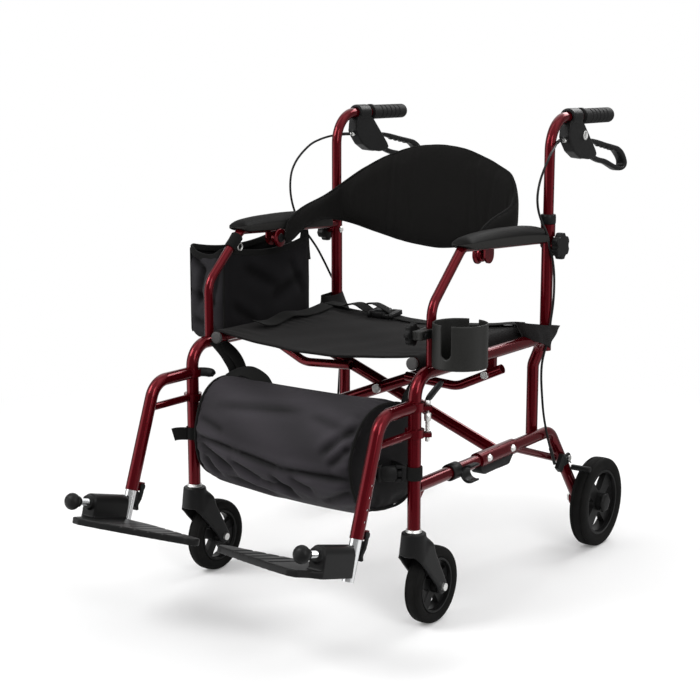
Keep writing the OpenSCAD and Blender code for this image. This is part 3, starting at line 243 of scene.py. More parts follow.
looks = {
    "frame_paint": paintedTube(),
    "black_plastic": mouldedPlastic("blackPlastic", (0.0065, 0.0065, 0.0066), 0.40),
    "wheel_plastic": mouldedPlastic("wheelPlastic", (0.0055, 0.0055, 0.0055), 0.44),
    "footrest_steel": platedSteel("footrestChrome", (0.80, 0.81, 0.82), 0.10, 400.0),
    "bolt_steel": platedSteel("boltZinc", (0.84, 0.84, 0.82), 0.36, 900.0),
    "tyre_rubber": tyreRubber("tyreRubber", (0.0048, 0.0047, 0.0045)),
    "grip_rubber": mouldedPlastic("gripRubber", (0.008, 0.008, 0.008), 0.58, 500.0, 0.4),
    "pad_foam": mouldedPlastic("padSkin", (0.0050, 0.0049, 0.0047), 0.55, 420.0, 0.35, 0.04, True),
    "cable_jacket": mouldedPlastic("cableJacket", (0.008, 0.008, 0.008), 0.35, 900.0, 0.15),
    "cloth": wovenCloth("seatCloth", (0.0060, 0.0056, 0.0056), 700.0),
    "back_cloth": wovenCloth("backCloth", (0.0040, 0.0038, 0.0036), 600.0),
    "bag_cloth": wovenCloth("bagCloth", (0.006, 0.006, 0.006), 650.0),
    "belt_web": wovenCloth("beltWeb", (0.0048, 0.0048, 0.0046), 420.0),
}
bagSatin = wovenCloth("bagSatin", (0.0150, 0.0134, 0.0158), 900.0, 0.60, 0.2, 0.12, True)
bagCanvas = wovenCloth("bagCanvas", (0.0105, 0.0100, 0.0112), 700.0, 0.8, 0.3, 0.07, True)
plugPlastic = mouldedPlastic("plugPlastic", (0.050, 0.049, 0.049), 0.5)
cupPlastic = mouldedPlastic("cupPlastic", (0.0100, 0.0100, 0.0092), 0.44, 700.0, 0.2, 0.2)
clampPlastic = mouldedPlastic("clampPlastic", (0.0045, 0.0045, 0.0045), 0.5)
slotOf = {part["node"]: part["material_slot"] for part in frame["record"]["subparts"]}
for name, node in frame["nodes"].items():
    node.data.materials.clear()
    node.data.materials.append(looks[slotOf[name]])
print("materials:", len(looks))


# lines and profiles

def mm(*places):  # millimetres to metres
    return np.array(places, float) / 1000


def unit(v):  # a vector over its own length
    return v / np.maximum(np.linalg.norm(v, axis=-1, keepdims=True), 1e-9)


def circle(count):  # even angles round a full turn
    return np.arange(count) * 2 * np.pi / count


def soft(c, power):  # a cosine or sine made fuller: a power below 1 squares off the round
    return np.sign(c) * np.abs(c) ** power


def smoothed(values, reach, mode):  # each value becomes the mean of its neighbours
    return np.convolve(np.pad(values, reach, mode), np.ones(2 * reach + 1) / (2 * reach + 1), "valid")


def runLength(line):  # distance along a line at each of its points
    return np.concatenate([[0], np.cumsum(np.linalg.norm(np.diff(line, axis=0), axis=1))])


def evenSteps(line, count, ends=True):  # the same line with its points evenly apart
    far = runLength(line)
    even = np.linspace(0, far[-1], count, endpoint=ends)
    return np.stack([np.interp(even, far, column) for column in line.T], 1)


def roundLine(places, count):  # a smooth cubic line through the places, in even steps
    p = np.asarray(places, float)
    p = np.concatenate([2 * p[:1] - p[1:2], p, 2 * p[-1:] - p[-2:-1]])
    k = np.linspace(0, len(places) - 1 - 1e-9, count * 8)
    i = k.astype(int)
    f = (k - i)[:, None]
    a, b, c, d = p[i], p[i + 1], p[i + 2], p[i + 3]
    curve = 2 * b + (c - a) * f + (2 * a - 5 * b + 4 * c - d) * f ** 2 + (3 * b - a - 3 * c + d) * f ** 3
    return evenSteps(0.5 * curve, count)


def loopLine(places, count):  # the same round a closed line: three turns' worth is made and one is cut out
    p = np.asarray(places, float)
    wide = roundLine(np.concatenate([p[-3:], p, p[:4]]), count * 3)
    away = np.linalg.norm(wide - p[0], axis=1)
    half = len(wide) // 2
    return evenSteps(wide[np.argmin(away[:half]):half + np.argmin(away[half:]) + 1], count, False)


def ring(radius, sides):  # a round profile
    a = circle(sides)
    return np.stack([radius * np.cos(a), radius * np.sin(a)], 1)


def tape(width, thick, bulge=0.0):  # a webbing profile: flat with round edges, sixteen points
    x = np.array([-1, -0.97, -0.8, -0.4, 0, 0.4, 0.8, 0.97, 1, 0.97, 0.8, 0.4, 0, -0.4, -0.8, -0.97])
    y = np.array([0, 0.7, 1, 1, 1, 1, 1, 0.7, 0, -0.7, -1, -1, -1, -1, -1, -0.7])
    return np.stack([x * width / 2, y * thick / 2 * (1 + bulge * (1 - x ** 2))], 1)


# mesh making: a grid of points becomes a skin, several skins become one piece

def skin(grid, loopU=False, loopV=False, caps=False):  # quads between the rows, and a UV in metres along both ways
    n, m = grid.shape[:2]
    full = np.concatenate([grid, grid[:1]], 0) if loopU else grid
    full = np.concatenate([full, full[:, :1]], 1) if loopV else full
    u = np.concatenate([[0], np.cumsum(np.linalg.norm(np.diff(full, axis=0), axis=2).mean(1))])
    v = np.concatenate([[0], np.cumsum(np.linalg.norm(np.diff(full, axis=1), axis=2).mean(0))])
    i, j = np.meshgrid(np.arange(len(u) - 1), np.arange(len(v) - 1), indexing="ij")
    corners = [(i, j), (i + 1, j), (i + 1, j + 1), (i, j + 1)]
    quads = np.stack([(a % n) * m + b % m for a, b in corners], -1).reshape(-1, 4)
    uv = np.stack([np.stack([u[a], v[b]], -1) for a, b in corners], -2).reshape(-1, 2)
    faces = quads.tolist()
    if caps:
        ends = np.stack([np.arange(m)[::-1], np.arange(m) + (n - 1) * m])
        faces += ends.tolist()
        flat = grid[[0, -1]] - grid[[0, -1]].mean(1, keepdims=True)
        flat[0] = flat[0, ::-1]
        wide = np.argsort(-np.ptp(flat, axis=1).max(0))[:2]
        uv = np.concatenate([uv, flat[..., wide].reshape(-1, 2)])
    return grid.reshape(-1, 3), faces, uv


def carry(path, profile, up, scale=None):  # a flat profile carried along a path, its second axis towards up
    path = np.asarray(path, float)
    ahead = unit(np.gradient(path, axis=0))
    side = unit(np.cross(ahead, np.broadcast_to(np.asarray(up, float), path.shape)))
    top = np.cross(side, ahead)
    size = np.ones(len(path)) if scale is None else np.asarray(scale)
    flat = profile[None, :, :1] * side[:, None] + profile[None, :, 1:] * top[:, None]
    return path[:, None] + size[:, None, None] * flat


def sweep(path, profile, up, scale=None):  # a skin along a path, closed at both ends
    return skin(carry(path, profile, up, scale), loopV=True, caps=True)


def sweepLoop(path, profile, up):  # the same round a closed path
    wide = np.concatenate([path[-2:], path, path[:2]])
    return skin(carry(wide, profile, up)[2:-2], loopU=True, loopV=True)


# rows of (along, radius) in millimetres, turned about an axis through the centre; a hollow one is a ring
def turned(rows, centre, axis, sides, hollow=False):
    rows = mm(*rows)
    axis = unit(np.array(axis, float))
    side = unit(np.cross(axis, (0, 0, 1) if abs(axis[2]) < 0.9 else (1, 0, 0)))
    top = np.cross(axis, side)
    a = circle(sides)
    spokes = np.cos(a)[None, :, None] * side + np.sin(a)[None, :, None] * top
    grid = np.array(centre) + rows[:, :1, None] * axis + rows[:, 1:, None] * spokes
    return skin(grid, loopU=hollow, loopV=True, caps=not hollow)


def plate(outline, x0, x1, edge):  # a flat outline in side view, given a width and soft edges
    p = np.array(outline, float)
    away = unit(p - p.mean(0)) * edge
    rows = [(x0, 1), (x0 + edge * 0.3, 0.3), (x0 + edge, 0), (x1 - edge, 0), (x1 - edge * 0.3, 0.3), (x1, 1)]
    grid = [np.concatenate([np.full((len(p), 1), x), p - away * inset], 1) for x, inset in rows]
    return skin(np.stack(grid), loopV=True, caps=True)


def addPiece(name, skins, look, body):  # skins into one object that rides on a body
    places, faces, uv, start = [], [], [], 0
    for p, f, t in skins:
        places.append(p)
        faces += [[k + start for k in face] for face in f]
        uv.append(t)
        start += len(p)
    mesh = bpy.data.meshes.new(name)
    mesh.from_pydata(np.concatenate(places).tolist(), [], faces)
    layer = mesh.uv_layers.new(name="uvMap")
    layer.data.foreach_set("uv", np.concatenate(uv).astype(np.float32).ravel())
    shape = bmesh.new()
    shape.from_mesh(mesh)
    bmesh.ops.recalc_face_normals(shape, faces=shape.faces)  # faces outwards
    shape.to_mesh(mesh)
    shape.free()
    mesh.shade_smooth()
    mesh.materials.append(looks[look] if isinstance(look, str) else look)
    piece = bpy.data.objects.new(name, mesh)
    bpy.context.scene.collection.objects.link(piece)
    if body:  # a piece given no body rides on none
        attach(piece, body)
    return piece


def points(piece, what="co"):  # every point's place, or its normal
    p = np.empty(len(piece.data.vertices) * 3, np.float32)
    piece.data.vertices.foreach_get(what, p)
    return p.reshape(-1, 3).astype(float)


def movePoints(piece, places):  # every point to its new place
    piece.data.vertices.foreach_set("co", places.astype(np.float32).ravel())
    piece.data.update()


def pushOut(piece, far):  # move every point along its normal
    movePoints(piece, points(piece) + points(piece, "normal") * far[:, None])


def layUv(piece, rule):  # a UV map worked out from the points' places, in metres
    mesh = piece.data
    layer = mesh.uv_layers.get("uvMap") or mesh.uv_layers.new(name="uvMap")
    corner = np.empty(len(mesh.loops), np.int32)
    mesh.loops.foreach_get("vertex_index", corner)
    layer.data.foreach_set("uv", rule(points(piece))[corner].astype(np.float32).ravel())


def shadePoints(piece, values):  # a number at every point for the material to read
    layer = piece.data.attributes.new("shade", "FLOAT", "POINT")
    layer.data.foreach_set("value", np.clip(values, 0, 1).astype(np.float32))


def freeze(piece):  # put the modifiers into the mesh
    shape = piece.evaluated_get(bpy.context.evaluated_depsgraph_get())
    mesh = bpy.data.meshes.new_from_object(shape)
    look = list(piece.data.materials)
    piece.modifiers.clear()
    piece.data = mesh
    mesh.materials.clear()
    for each in look:
        mesh.materials.append(each)
    mesh.shade_smooth()


def voxels(piece, size):  # one even mesh in place of joined pieces
    grains = piece.modifiers.new("voxels", "REMESH")
    grains.mode = "VOXEL"
    grains.voxel_size = size
    freeze(piece)


def relax(piece, passes):  # each pass moves a point half way to the mean of its neighbours
    smooth = piece.modifiers.new("smooth", "SMOOTH")
    smooth.factor, smooth.iterations = 0.5, passes


puffSet = {"quality": 5, "steps": 20, "passes": 6}


def puff(piece, s):  # voxel mesh, then cloth under pressure with its movement capped, then smoothed and made finer
    voxels(piece, s["voxel"])
    start = points(piece)
    cloth = piece.modifiers.new("cloth", "CLOTH")
    cloth.settings.quality = puffSet["quality"]
    cloth.settings.use_pressure = True
    cloth.settings.uniform_pressure_force = s["pressure"]
    cloth.settings.effector_weights.gravity = 0
    for step in range(puffSet["steps"]):
        bpy.context.scene.frame_set(step + 1)
    move = points(piece.evaluated_get(bpy.context.evaluated_depsgraph_get())) - start
    piece.modifiers.clear()
    bpy.context.scene.frame_set(1)
    far = np.linalg.norm(move, axis=1, keepdims=True)
    start = start + move * np.minimum(1, s["cap"] / np.maximum(far, 1e-9))
    movePoints(piece, start)
    relax(piece, puffSet["passes"])
    fine = piece.modifiers.new("fine", "SUBSURF")
    fine.levels = fine.render_levels = 1
    freeze(piece)


def folds(place, rows):  # soft valleys along short lines, each with a raised shoulder: ends, width, depth
    total = np.zeros(len(place))
    for u0, v0, u1, v1, width, depth in mm(*rows):
        a, step = np.array([u0, v0]), np.array([u1 - u0, v1 - v0])
        t = ((place - a) @ step) / (step @ step)
        off = (place - a) - np.clip(t, 0, 1)[:, None] * step
        far = np.linalg.norm(off, axis=1) / width
        fade = np.clip(np.minimum(t, 1 - t) * 4 + 0.35, 0, 1)
        total += depth * fade * (np.exp(-far ** 2) - 0.30 * np.exp(-((far - 2.2) / 1.3) ** 2))
    return total


foldShift = 0.230063  # how far the right side comes over to the left at full fold


def foldUp(piece, half):  # gives the piece its own mesh; the share its left end would narrow to at full fold is worked out but not used
    round(1 - foldShift / (2 * half), 4)
    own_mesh(piece)


# the back pad: a padded band from pivot to pivot, swollen by a short cloth simulation

backSet = {"halfW": 0.238, "pivotY": 0.015, "pivotZ": 0.697, "depth": 0.248, "rise": 0.052, "crest": 0.033,
           "height": 0.236, "endHeight": 0.054, "shoulder": 0.020, "shoulderAt": 0.74, "shoulderWide": 0.14,
           "thick": 0.022, "endThick": 0.011, "endRound": 0.02, "rows": 150, "around": 44,
           "voxel": 0.005, "pressure": 4.0, "cap": 0.005, "pipe": 0.0024,
           "folds": [(0.36, 0.10, 0.006, -0.0016), (0.385, 0.02, 0.007, -0.0012), (0.33, -0.12, 0.009, -0.0014),
                     (0.43, 0.05, 0.008, -0.0007), (0.64, -0.10, 0.006, -0.0014), (0.615, 0.05, 0.008, -0.0010),
                     (0.68, 0.18, 0.008, -0.0014), (0.55, -0.04, 0.008, -0.0006)],  # share along, lean, width, depth
           "hub": [(245.5, 6), (245.5, 18.5), (246.5, 19.8), (250, 19.8), (251, 19), (251.2, 15), (254.5, 14.8),
                   (260, 14.8), (261.4, 14), (262, 8.6)],
           "hubCap": [(244.8, 10), (244, 10), (243.4, 9.4), (243, 6), (243, 0.5)]}


# even steps along the band: middle point, outward direction, height and thickness,
# all as powers of the cosine of the angle from the middle of the back
def backLine(rows):
    s = backSet
    b = np.linspace(-np.pi / 2, np.pi / 2, 4001)
    c = np.clip(np.cos(b), 0, 1)
    plan = np.stack([np.sign(b) * s["halfW"] * np.sqrt(1 - c ** 4.8), s["pivotY"] + s["depth"] * c ** 0.6], 1)
    far = runLength(plan)
    even = np.linspace(0, far[-1], rows)
    c = np.interp(even, far, c)
    plan = evenSteps(plan, rows)
    along = unit(np.gradient(plan, axis=0))
    out = np.stack([-along[:, 1], along[:, 0]], 1)
    mid = s["pivotZ"] + s["rise"] * (1 - (1 - c ** 0.6) ** 4) + s["crest"] * c ** 2.2
    high = s["endHeight"] + (s["height"] - s["endHeight"]) * c ** 4.1
    raised = s["shoulder"] * np.exp(-((c - s["shoulderAt"]) / s["shoulderWide"]) ** 2) * (plan[:, 0] > 0)  # left only
    thick = s["endThick"] + (s["thick"] - s["endThick"]) * c ** 1.8
    return even, plan, out, mid + raised / 2, high + raised, thick


# an oval squared off by powers of cosine and sine, carried along the band, swollen,
# then creased by valleys with a bell-shaped section
def backPad():
    s = backSet
    even, plan, out, mid, high, thick = backLine(s["rows"])
    q = circle(s["around"])
    u, v = soft(np.cos(q), 0.75), soft(np.sin(q), 0.5)
    end = np.clip(np.minimum(even, even[-1] - even) / s["endRound"], 0, 1)  # rounded off in side view
    tall = high * np.sqrt(np.clip(1 - (1 - end) ** 2, 0.02, 1))
    flat = plan[:, None] + (u[None] * thick[:, None] / 2)[..., None] * out[:, None]
    grid = np.concatenate([flat, (mid[:, None] + v[None] * tall[:, None] / 2)[..., None]], -1)
    pad = addPiece("backPad", [skin(grid, loopV=True, caps=True)], "back_cloth", "back_body")
    puff(pad, s)
    line = backLine(4001)
    bearing = lambda x, y: np.arctan2(x, y - s["pivotY"] + 0.02)

    def sewn(p):  # place along the band and height, for the cloth's UV and the soft folds
        return np.stack([np.interp(bearing(p[:, 0], p[:, 1]), bearing(*line[1].T), line[0]), p[:, 2]], 1)

    k, z = sewn(points(pad)).T
    pushOut(pad, sum(a * np.exp(-((k - c * line[0][-1] - t * (z - 0.78)) / w) ** 2) for c, t, w, a in s["folds"]))
    layUv(pad, sewn)
    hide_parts("backrest")
    edges = []
    shape, where = points(pad), sewn(points(pad))[:, 0]
    near = np.abs(even[:, None] - where[None]) < 0.005
    for sign in (1, -1):  # piping along the upper and lower edge of the swollen pad
        edge = np.where(near, sign * shape[None, :, 2], -9).max(1)
        edge = smoothed(np.where(edge < -8, sign * (mid + sign * tall / 2), edge), 3, "edge")
        path = np.stack([plan[:, 0], plan[:, 1], sign * (edge - 0.0006)], 1)[3:-3]
        edges.append(sweep(path, ring(s["pipe"], 8), upAxis))
    piping = addPiece("backPiping", edges, "belt_web", "back_body")
    for sign, side in bothSides:  # turned about the flip axis, so they look the same at every flip
        for name, rows, look in (("Disc", "hub", "frame_paint"), ("Cap", "hubCap", "black_plastic")):
            disc = turned(np.array(s[rows]) * (sign, 1), (0, s["pivotY"], s["pivotZ"]), acrossAxis, 48)
            addPiece("backPivot" + name + side.capitalize(), [disc], look, side + "_frame")
    foldUp(pad, s["halfW"])
    foldUp(piping, s["halfW"])
    print("back pad done")


backPad()


# a side-release buckle: two frames, a tongue and two spring arms, as soft-edged blocks
def sideRelease(name, place, along, out, width, length, thick, body):
    across = np.cross(out, along)
    half, w, edge = length / 2, width / 2, 0.0012

    def slab(u0, u1, v0, v1, h0, h1):  # rings of a rounded outline, bevelled at both faces
        q = np.radians(np.arange(0, 360, 15))
        r = min((u1 - u0), (v1 - v0)) * 0.32
        cu = np.where(np.cos(q) >= 0, u1 - r, u0 + r) + r * np.cos(q)
        cv = np.where(np.sin(q) >= 0, v1 - r, v0 + r) + r * np.sin(q)
        mu, mv = (u0 + u1) / 2, (v0 + v1) / 2
        rings = []
        for h, inset in ((h0, edge), (h0 + edge, 0), (h1 - edge, 0), (h1, edge)):
            k = 1 - inset / max(r, 1e-6) * 0.5
            u, v = mu + (cu - mu) * k, mv + (cv - mv) * k
            rings.append(place + u[:, None] * along + v[:, None] * across + h * out)
        return skin(np.stack(rings), loopV=True, caps=True)

    rows = [(-half, -half + 0.007, -1, 1, 0, 1), (-half + 0.004, half * 0.35, -0.92, 0.92, 0.12, 1),
            (half * 0.2, half * 0.72, -1, -0.62, 0.2, 0.8), (half * 0.2, half * 0.72, 0.62, 1, 0.2, 0.8),
            (half * 0.3, half * 0.8, -0.35, 0.35, 0.25, 0.75), (half * 0.66, half, -0.96, 0.96, 0.1, 0.9)]
    parts = [slab(u0, u1, v0 * w, v1 * w, h0 * thick, h1 * thick) for u0, u1, v0, v1, h0, h1 in rows]
    return addPiece(name, parts, "black_plastic", body)


# bag below the seat: a soft roll with round end panels, piping and straps

rollSet = {"half": 0.205, "rows": 60, "voxel": 0.006, "pressure": 5.0, "cap": 0.005, "pipe": 0.0028,
           "middle": (-0.250, 0.331), "rear": -0.126, "taper": 0.17, "sag": 0.014, "round": 0.118,
           "pinch": 0.045, "pinchReach": 0.018, "taperFrom": 0.15, "taperRun": 0.357, "pucker": 0.0011,
           "outline": [(-152, 408), (-180, 432), (-220, 444), (-262, 447), (-298, 440), (-331, 421), (-355, 391),
                       (-370, 355), (-371, 322), (-363, 289), (-345, 259), (-312, 236), (-268, 222), (-211, 218),
                       (-163, 227), (-136, 258), (-127, 310), (-132, 365)],
           "folds": [(-200, 4, -80, -12, 8, -8), (-80, -12, 40, -26, 8, -8), (40, -26, 200, -20, 8, -8.5),
                     (203, 88, 140, 20, 9, -6.5), (203, 45, 160, 0, 8, -6), (203, -45, 130, -85, 9, -5.5),
                     (-195, -10, -90, -75, 10, -7.5), (-175, -45, -150, -110, 10, -6),
                     (-100, -40, -20, -75, 10, -7), (-20, -75, 60, -70, 9, -6), (10, -45, 60, -100, 9, -6.5),
                     (60, -40, 110, -60, 8, -5.5), (-120, -95, -10, -120, 12, -6), (-150, 100, 60, 108, 12, -4.5),
                     (-195, 60, -120, 30, 10, -4), (90, 100, 195, 70, 10, -4)]}


# the closed outline scaled about its middle at each x: drawn in at the ends, slimmer to the right by a power,
# sagging by a flat-topped curve; then swollen and creased
def seatBag():
    s = rollSet
    half = s["half"]
    loop = loopLine(mm(*[(0, y, z) for y, z in s["outline"]]), 96)
    middle = np.array([0, *s["middle"]])
    ends = half + np.array([0.003, 0.004])
    x = np.concatenate([-ends[::-1], np.linspace(-half, half, s["rows"]), ends])
    drawn = 1 - s["pinch"] * np.exp(-(half - np.abs(x[2:-2])) / s["pinchReach"])
    size = np.concatenate([[0.55, 0.86], drawn, [0.86, 0.55]])
    grid = middle + (loop - middle)[None] * size[:, None, None]
    grid[..., 0] = x[:, None]
    slim = 1 - s["taper"] * np.clip((s["taperFrom"] - x) / s["taperRun"], 0, 1) ** 1.5  # less deep towards the right
    grid[..., 1] = s["rear"] + (grid[..., 1] - s["rear"]) * slim[:, None]
    sag = s["sag"] * np.clip(1 - (np.abs(x) / 0.207) ** 5, 0, 1)  # hanging between its ends
    grid[..., 2] -= sag[:, None] * np.clip((grid[..., 2] - middle[2]) / 0.11, 0, 1)
    bag = addPiece("seatBag", [skin(grid, loopV=True, caps=True)], bagSatin, "left_frame")
    puff(bag, s)

    def wrapped(p):  # place across the chair and round the roll, both in metres
        return np.stack([p[:, 0], np.arctan2(p[:, 2] - middle[2], middle[1] - p[:, 1]) * s["round"]], 1)

    place = wrapped(points(bag))
    across, turn = place.T
    near = np.exp(-np.maximum(half - np.abs(across), 0) / 0.022)
    on = np.clip((half + 0.001 - np.abs(across)) / 0.008, 0, 1)
    pucker = s["pucker"] * near * np.sin(turn * 230 + 2.0 * np.sin(turn * 47)) * on
    deep = folds(place, s["folds"]) * on
    pushOut(bag, deep + pucker)
    panel = np.clip((np.abs(points(bag, "normal")[:, 0]) - 0.55) / 0.2, 0, 1)  # the end panels are black
    mottle = 0.12 * np.sin(across * 31 + turn * 44)
    # painted light: the roll's lower part is painted paler, fold valleys get painted shade and their shoulders painted
    # highlights; the end panels are black, their own colour
    shadePoints(bag, (0.50 + np.clip(-turn, 0, 0.12) * 1.6 + deep / 0.012 + mottle) * (1 - panel))
    layUv(bag, lambda p: np.where((np.abs(p[:, :1]) > half + 0.001), p[:, 1:], wrapped(p)))
    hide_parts("under_seat_bag")
    seams, shape = [], points(bag)
    a = np.linspace(-np.pi, np.pi, 120, endpoint=False)
    for sign in (1, -1):  # the piping follows the swollen roll's own edge
        rim = sign * (half - 0.001)
        near = shape[np.abs(shape[:, 0] - rim) < 0.0030] - middle
        turn = np.arctan2(near[:, 2], near[:, 1])
        step = np.abs((turn[None] - a[:, None] + np.pi) % (2 * np.pi) - np.pi)
        size = smoothed(np.where(step < 0.08, np.hypot(near[:, 1], near[:, 2])[None], 0).max(1), 4, "wrap") - 0.0008
        edge = np.stack([np.full(120, rim), middle[1] + size * np.cos(a), middle[2] + size * np.sin(a)], 1)
        seams.append(sweepLoop(edge, ring(s["pipe"], 8), acrossAxis))
    piping = addPiece("seatBagPiping", seams, "belt_web", "left_frame")
    handle = bagStraps()
    for piece in (bag, piping, handle):
        foldUp(piece, half)
    print("seat bag done")


bagStrapSet = {"front": [(212, -190, 420), (216, -187, 446), (230, -190, 470), (250, -192, 490), (261, -193, 499)],
               "rear": [(204, -172, 422), (209, -170, 446), (224, -174, 472), (248, -180, 491), (261, -182, 499)],
               "width": {"front": 0.034, "rear": 0.030},
               "leg": (273, -251, 313), "legRing": 14.6, "legWidth": 0.026, "thick": 0.0024,
               "tail": [(-277, -266, 313), (-287, -272, 313), (-296, -277, 312), (-303, -281, 310)],
               "handle": [(-202, -226, 432), (-184, -214, 444), (-165, -210, 449), (-146, -211, 447),
                          (-123, -214, 438), (-104, -220, 422)],
               "buckle": (238, -272, 313), "buckleSize": (0.032, 0.054, 0.013)}


def bagStraps():  # on each frame two straps up to the rail and a loop round the front leg; a buckle and a handle
    s = bagStrapSet
    x0, y0, z0 = s["leg"]
    web = tape(s["legWidth"], s["thick"])[:, ::-1]
    for sign, side in bothSides:
        straps = []
        for place, width in s["width"].items():
            line = roundLine(mm(*[(x * sign, y, z) for x, y, z in s[place]]), 24)
            straps.append(sweep(line, tape(width, 0.0022), acrossAxis))
        a = np.radians(np.linspace(205, -155, 40) if sign > 0 else np.linspace(-25, 335, 40))
        leg = np.stack([x0 * sign + s["legRing"] * np.cos(a), y0 + s["legRing"] * np.sin(a), np.full(40, z0)], 1)
        front = [(206 * sign, -296, z0), (232 * sign, -276, z0)]
        rear = [(232 * sign, -244, z0), (206 * sign, -236, z0)]
        straps.append(sweep(roundLine(mm(*front, *leg[3:-3], *rear), 90), web, upAxis))
        if side == "right":
            straps.append(sweep(roundLine(mm(*s["tail"]), 12), tape(0.027, s["thick"])[:, ::-1], upAxis))
        addPiece("seatBagStraps" + side.capitalize(), straps, "belt_web", side + "_frame")
    along, out = unit(np.array([0.86, 0.5, 0])), unit(np.array([0.5, -0.86, 0]))
    sideRelease("seatBagBuckle", mm(s["buckle"])[0], along, out, *s["buckleSize"], "left_frame")
    flap = sweep(roundLine(mm(*s["handle"]), 40), tape(0.034, 0.0030), (0, -0.5, 1))
    return addPiece("seatBagHandle", [flap], "belt_web", "left_frame")


seatBag()


# seat cloth: stretched between the two seat tubes, wrapped round them, hemmed front and back

seatSet = {"tubeX": 0.2406, "tubeZ": 0.511, "tubeR": 0.0122, "thick": 0.0024, "sag": 0.014, "flatX": 0.226,
           "front": -0.203, "back": 0.210, "bow": 0.012, "rows": 90, "hem": 0.016,
           "slack": 0.0022, "frontSlack": 0.0040, "crease": 0.0009, "waves": (0.0007, 0.0006),
           "plug": [(-206.5, 11.8), (-211.5, 12.4), (-212.8, 12.4), (-214, 11.6), (-214.5, 8.5), (-214.7, 1)]}


def seatLine():  # across the chair: an arc round the right tube, a parabola, an arc round the left tube
    s = seatSet
    r = s["tubeR"] + s["thick"] / 2
    turn = np.radians(np.linspace(255, 96, 22))
    left = np.stack([-s["tubeX"] + r * np.cos(turn), s["tubeZ"] + r * np.sin(turn)], 1)
    x = np.linspace(left[-1, 0], -left[-1, 0], 74)[1:-1]
    z = left[-1, 1] - s["sag"] * (1 - (x / left[-1, 0]) ** 2)
    return np.concatenate([left, np.stack([x, z], 1), left[::-1] * (-1, 1)])


def slackShare(x):  # 0 at the tubes, 1 in the middle
    return np.clip(1 - (x / seatSet["flatX"]) ** 2, 0, 1)


def blendSeat(piece):  # puts the piece's place into its mesh
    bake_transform(piece)


# the cross line carried from the front hem to the rear one, thicker at the hems, with sine waves and creases,
# and set off to both sides for its two faces
def seatCloth():
    s = seatSet
    line = seatLine()
    x = line[:, 0]
    along = unit(np.gradient(line, axis=0))
    out = np.stack([-along[:, 1], along[:, 0]], 1)
    t = np.linspace(0, 1, s["rows"])
    t = 0.5 - 0.5 * np.cos(np.pi * t) * (0.6 + 0.4 * np.cos(np.pi * t) ** 2)  # rows lie closer at both hems
    flat = slackShare(x)
    y0 = s["front"] - s["bow"] * flat
    y1 = s["back"] + 0.004 * flat
    y = y0[None] + (y1 - y0)[None] * t[:, None]
    hem = np.exp(-(np.minimum(y - y0, y1 - y) / s["hem"]) ** 4)
    thick = s["thick"] * (1 + 0.9 * hem)
    slack = (s["slack"] * np.sin(np.pi * t) + s["frontSlack"] * np.exp(-t / 0.06))[:, None] * flat
    near = np.exp(-((1 - np.abs(x) / 0.21) / 0.22) ** 2) * (np.abs(x) < s["flatX"]) * (flat < 1)
    pull = s["crease"] * np.sin(y * 165 + 3 * np.sin(y * 31)) * near  # short creases from the tubes
    long, short = s["waves"]
    wave = (long * np.sin(y * 41 + x * 23) + short * np.sin(y * 23 - x * 57 + 1)) * flat
    shells = []
    for side in (1, -1):
        p = line[None] + out[None] * (side * thick / 2)[..., None]
        shells.append(np.stack([p[..., 0], y, p[..., 1] + pull + wave - slack], -1))
    grid = np.concatenate([shells[0], shells[1][:, ::-1]], 1)
    cloth = addPiece("seatCloth", [skin(grid, loopV=True, caps=True)], "cloth", None)
    layUv(cloth, lambda p: p[:, :2])
    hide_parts("seat_sling")
    blendSeat(cloth)
    for (sign, side), brace in zip(bothSides, ("brace_b_body", "brace_a_body")):  # round plugs in the tubes' front ends
        plug = turned(s["plug"], (sign * s["tubeX"], 0, s["tubeZ"]), alongAxis, 40)
        addPiece("seatTubePlug" + side.capitalize(), [plug], plugPlastic, brace)
    print("seat done")


seatCloth()


# armrest pads: a smooth skin over foam, arched, with a round nose and flat below where the tube runs

padSet = {"x": 0.276, "y": -0.0752, "z": 0.7212, "fall": 2.5, "start": -0.031, "length": 0.3342, "width": 0.046,
          "low": -0.0035, "rows": 70, "edge": 0.50, "nose": 0.020, "tail": 0.012,
          "noseRise": 0.024, "noseCut": 0.008, "cutRun": 0.03,
          "top": [(0, 0.017), (0.06, 0.0215), (0.2, 0.0275), (0.45, 0.0325), (0.7, 0.0335), (0.88, 0.03), (1, 0.0235)],
          "section": [(0, -1), (0.5, -1), (0.86, -1), (0.97, -0.92), (1, -0.78), (1, -0.4), (1, -0.08), (0.97, 0.03),
                      (0.90, 0.20), (0.76, 0.46), (0.56, 0.73), (0.30, 0.93), (0, 1)]}


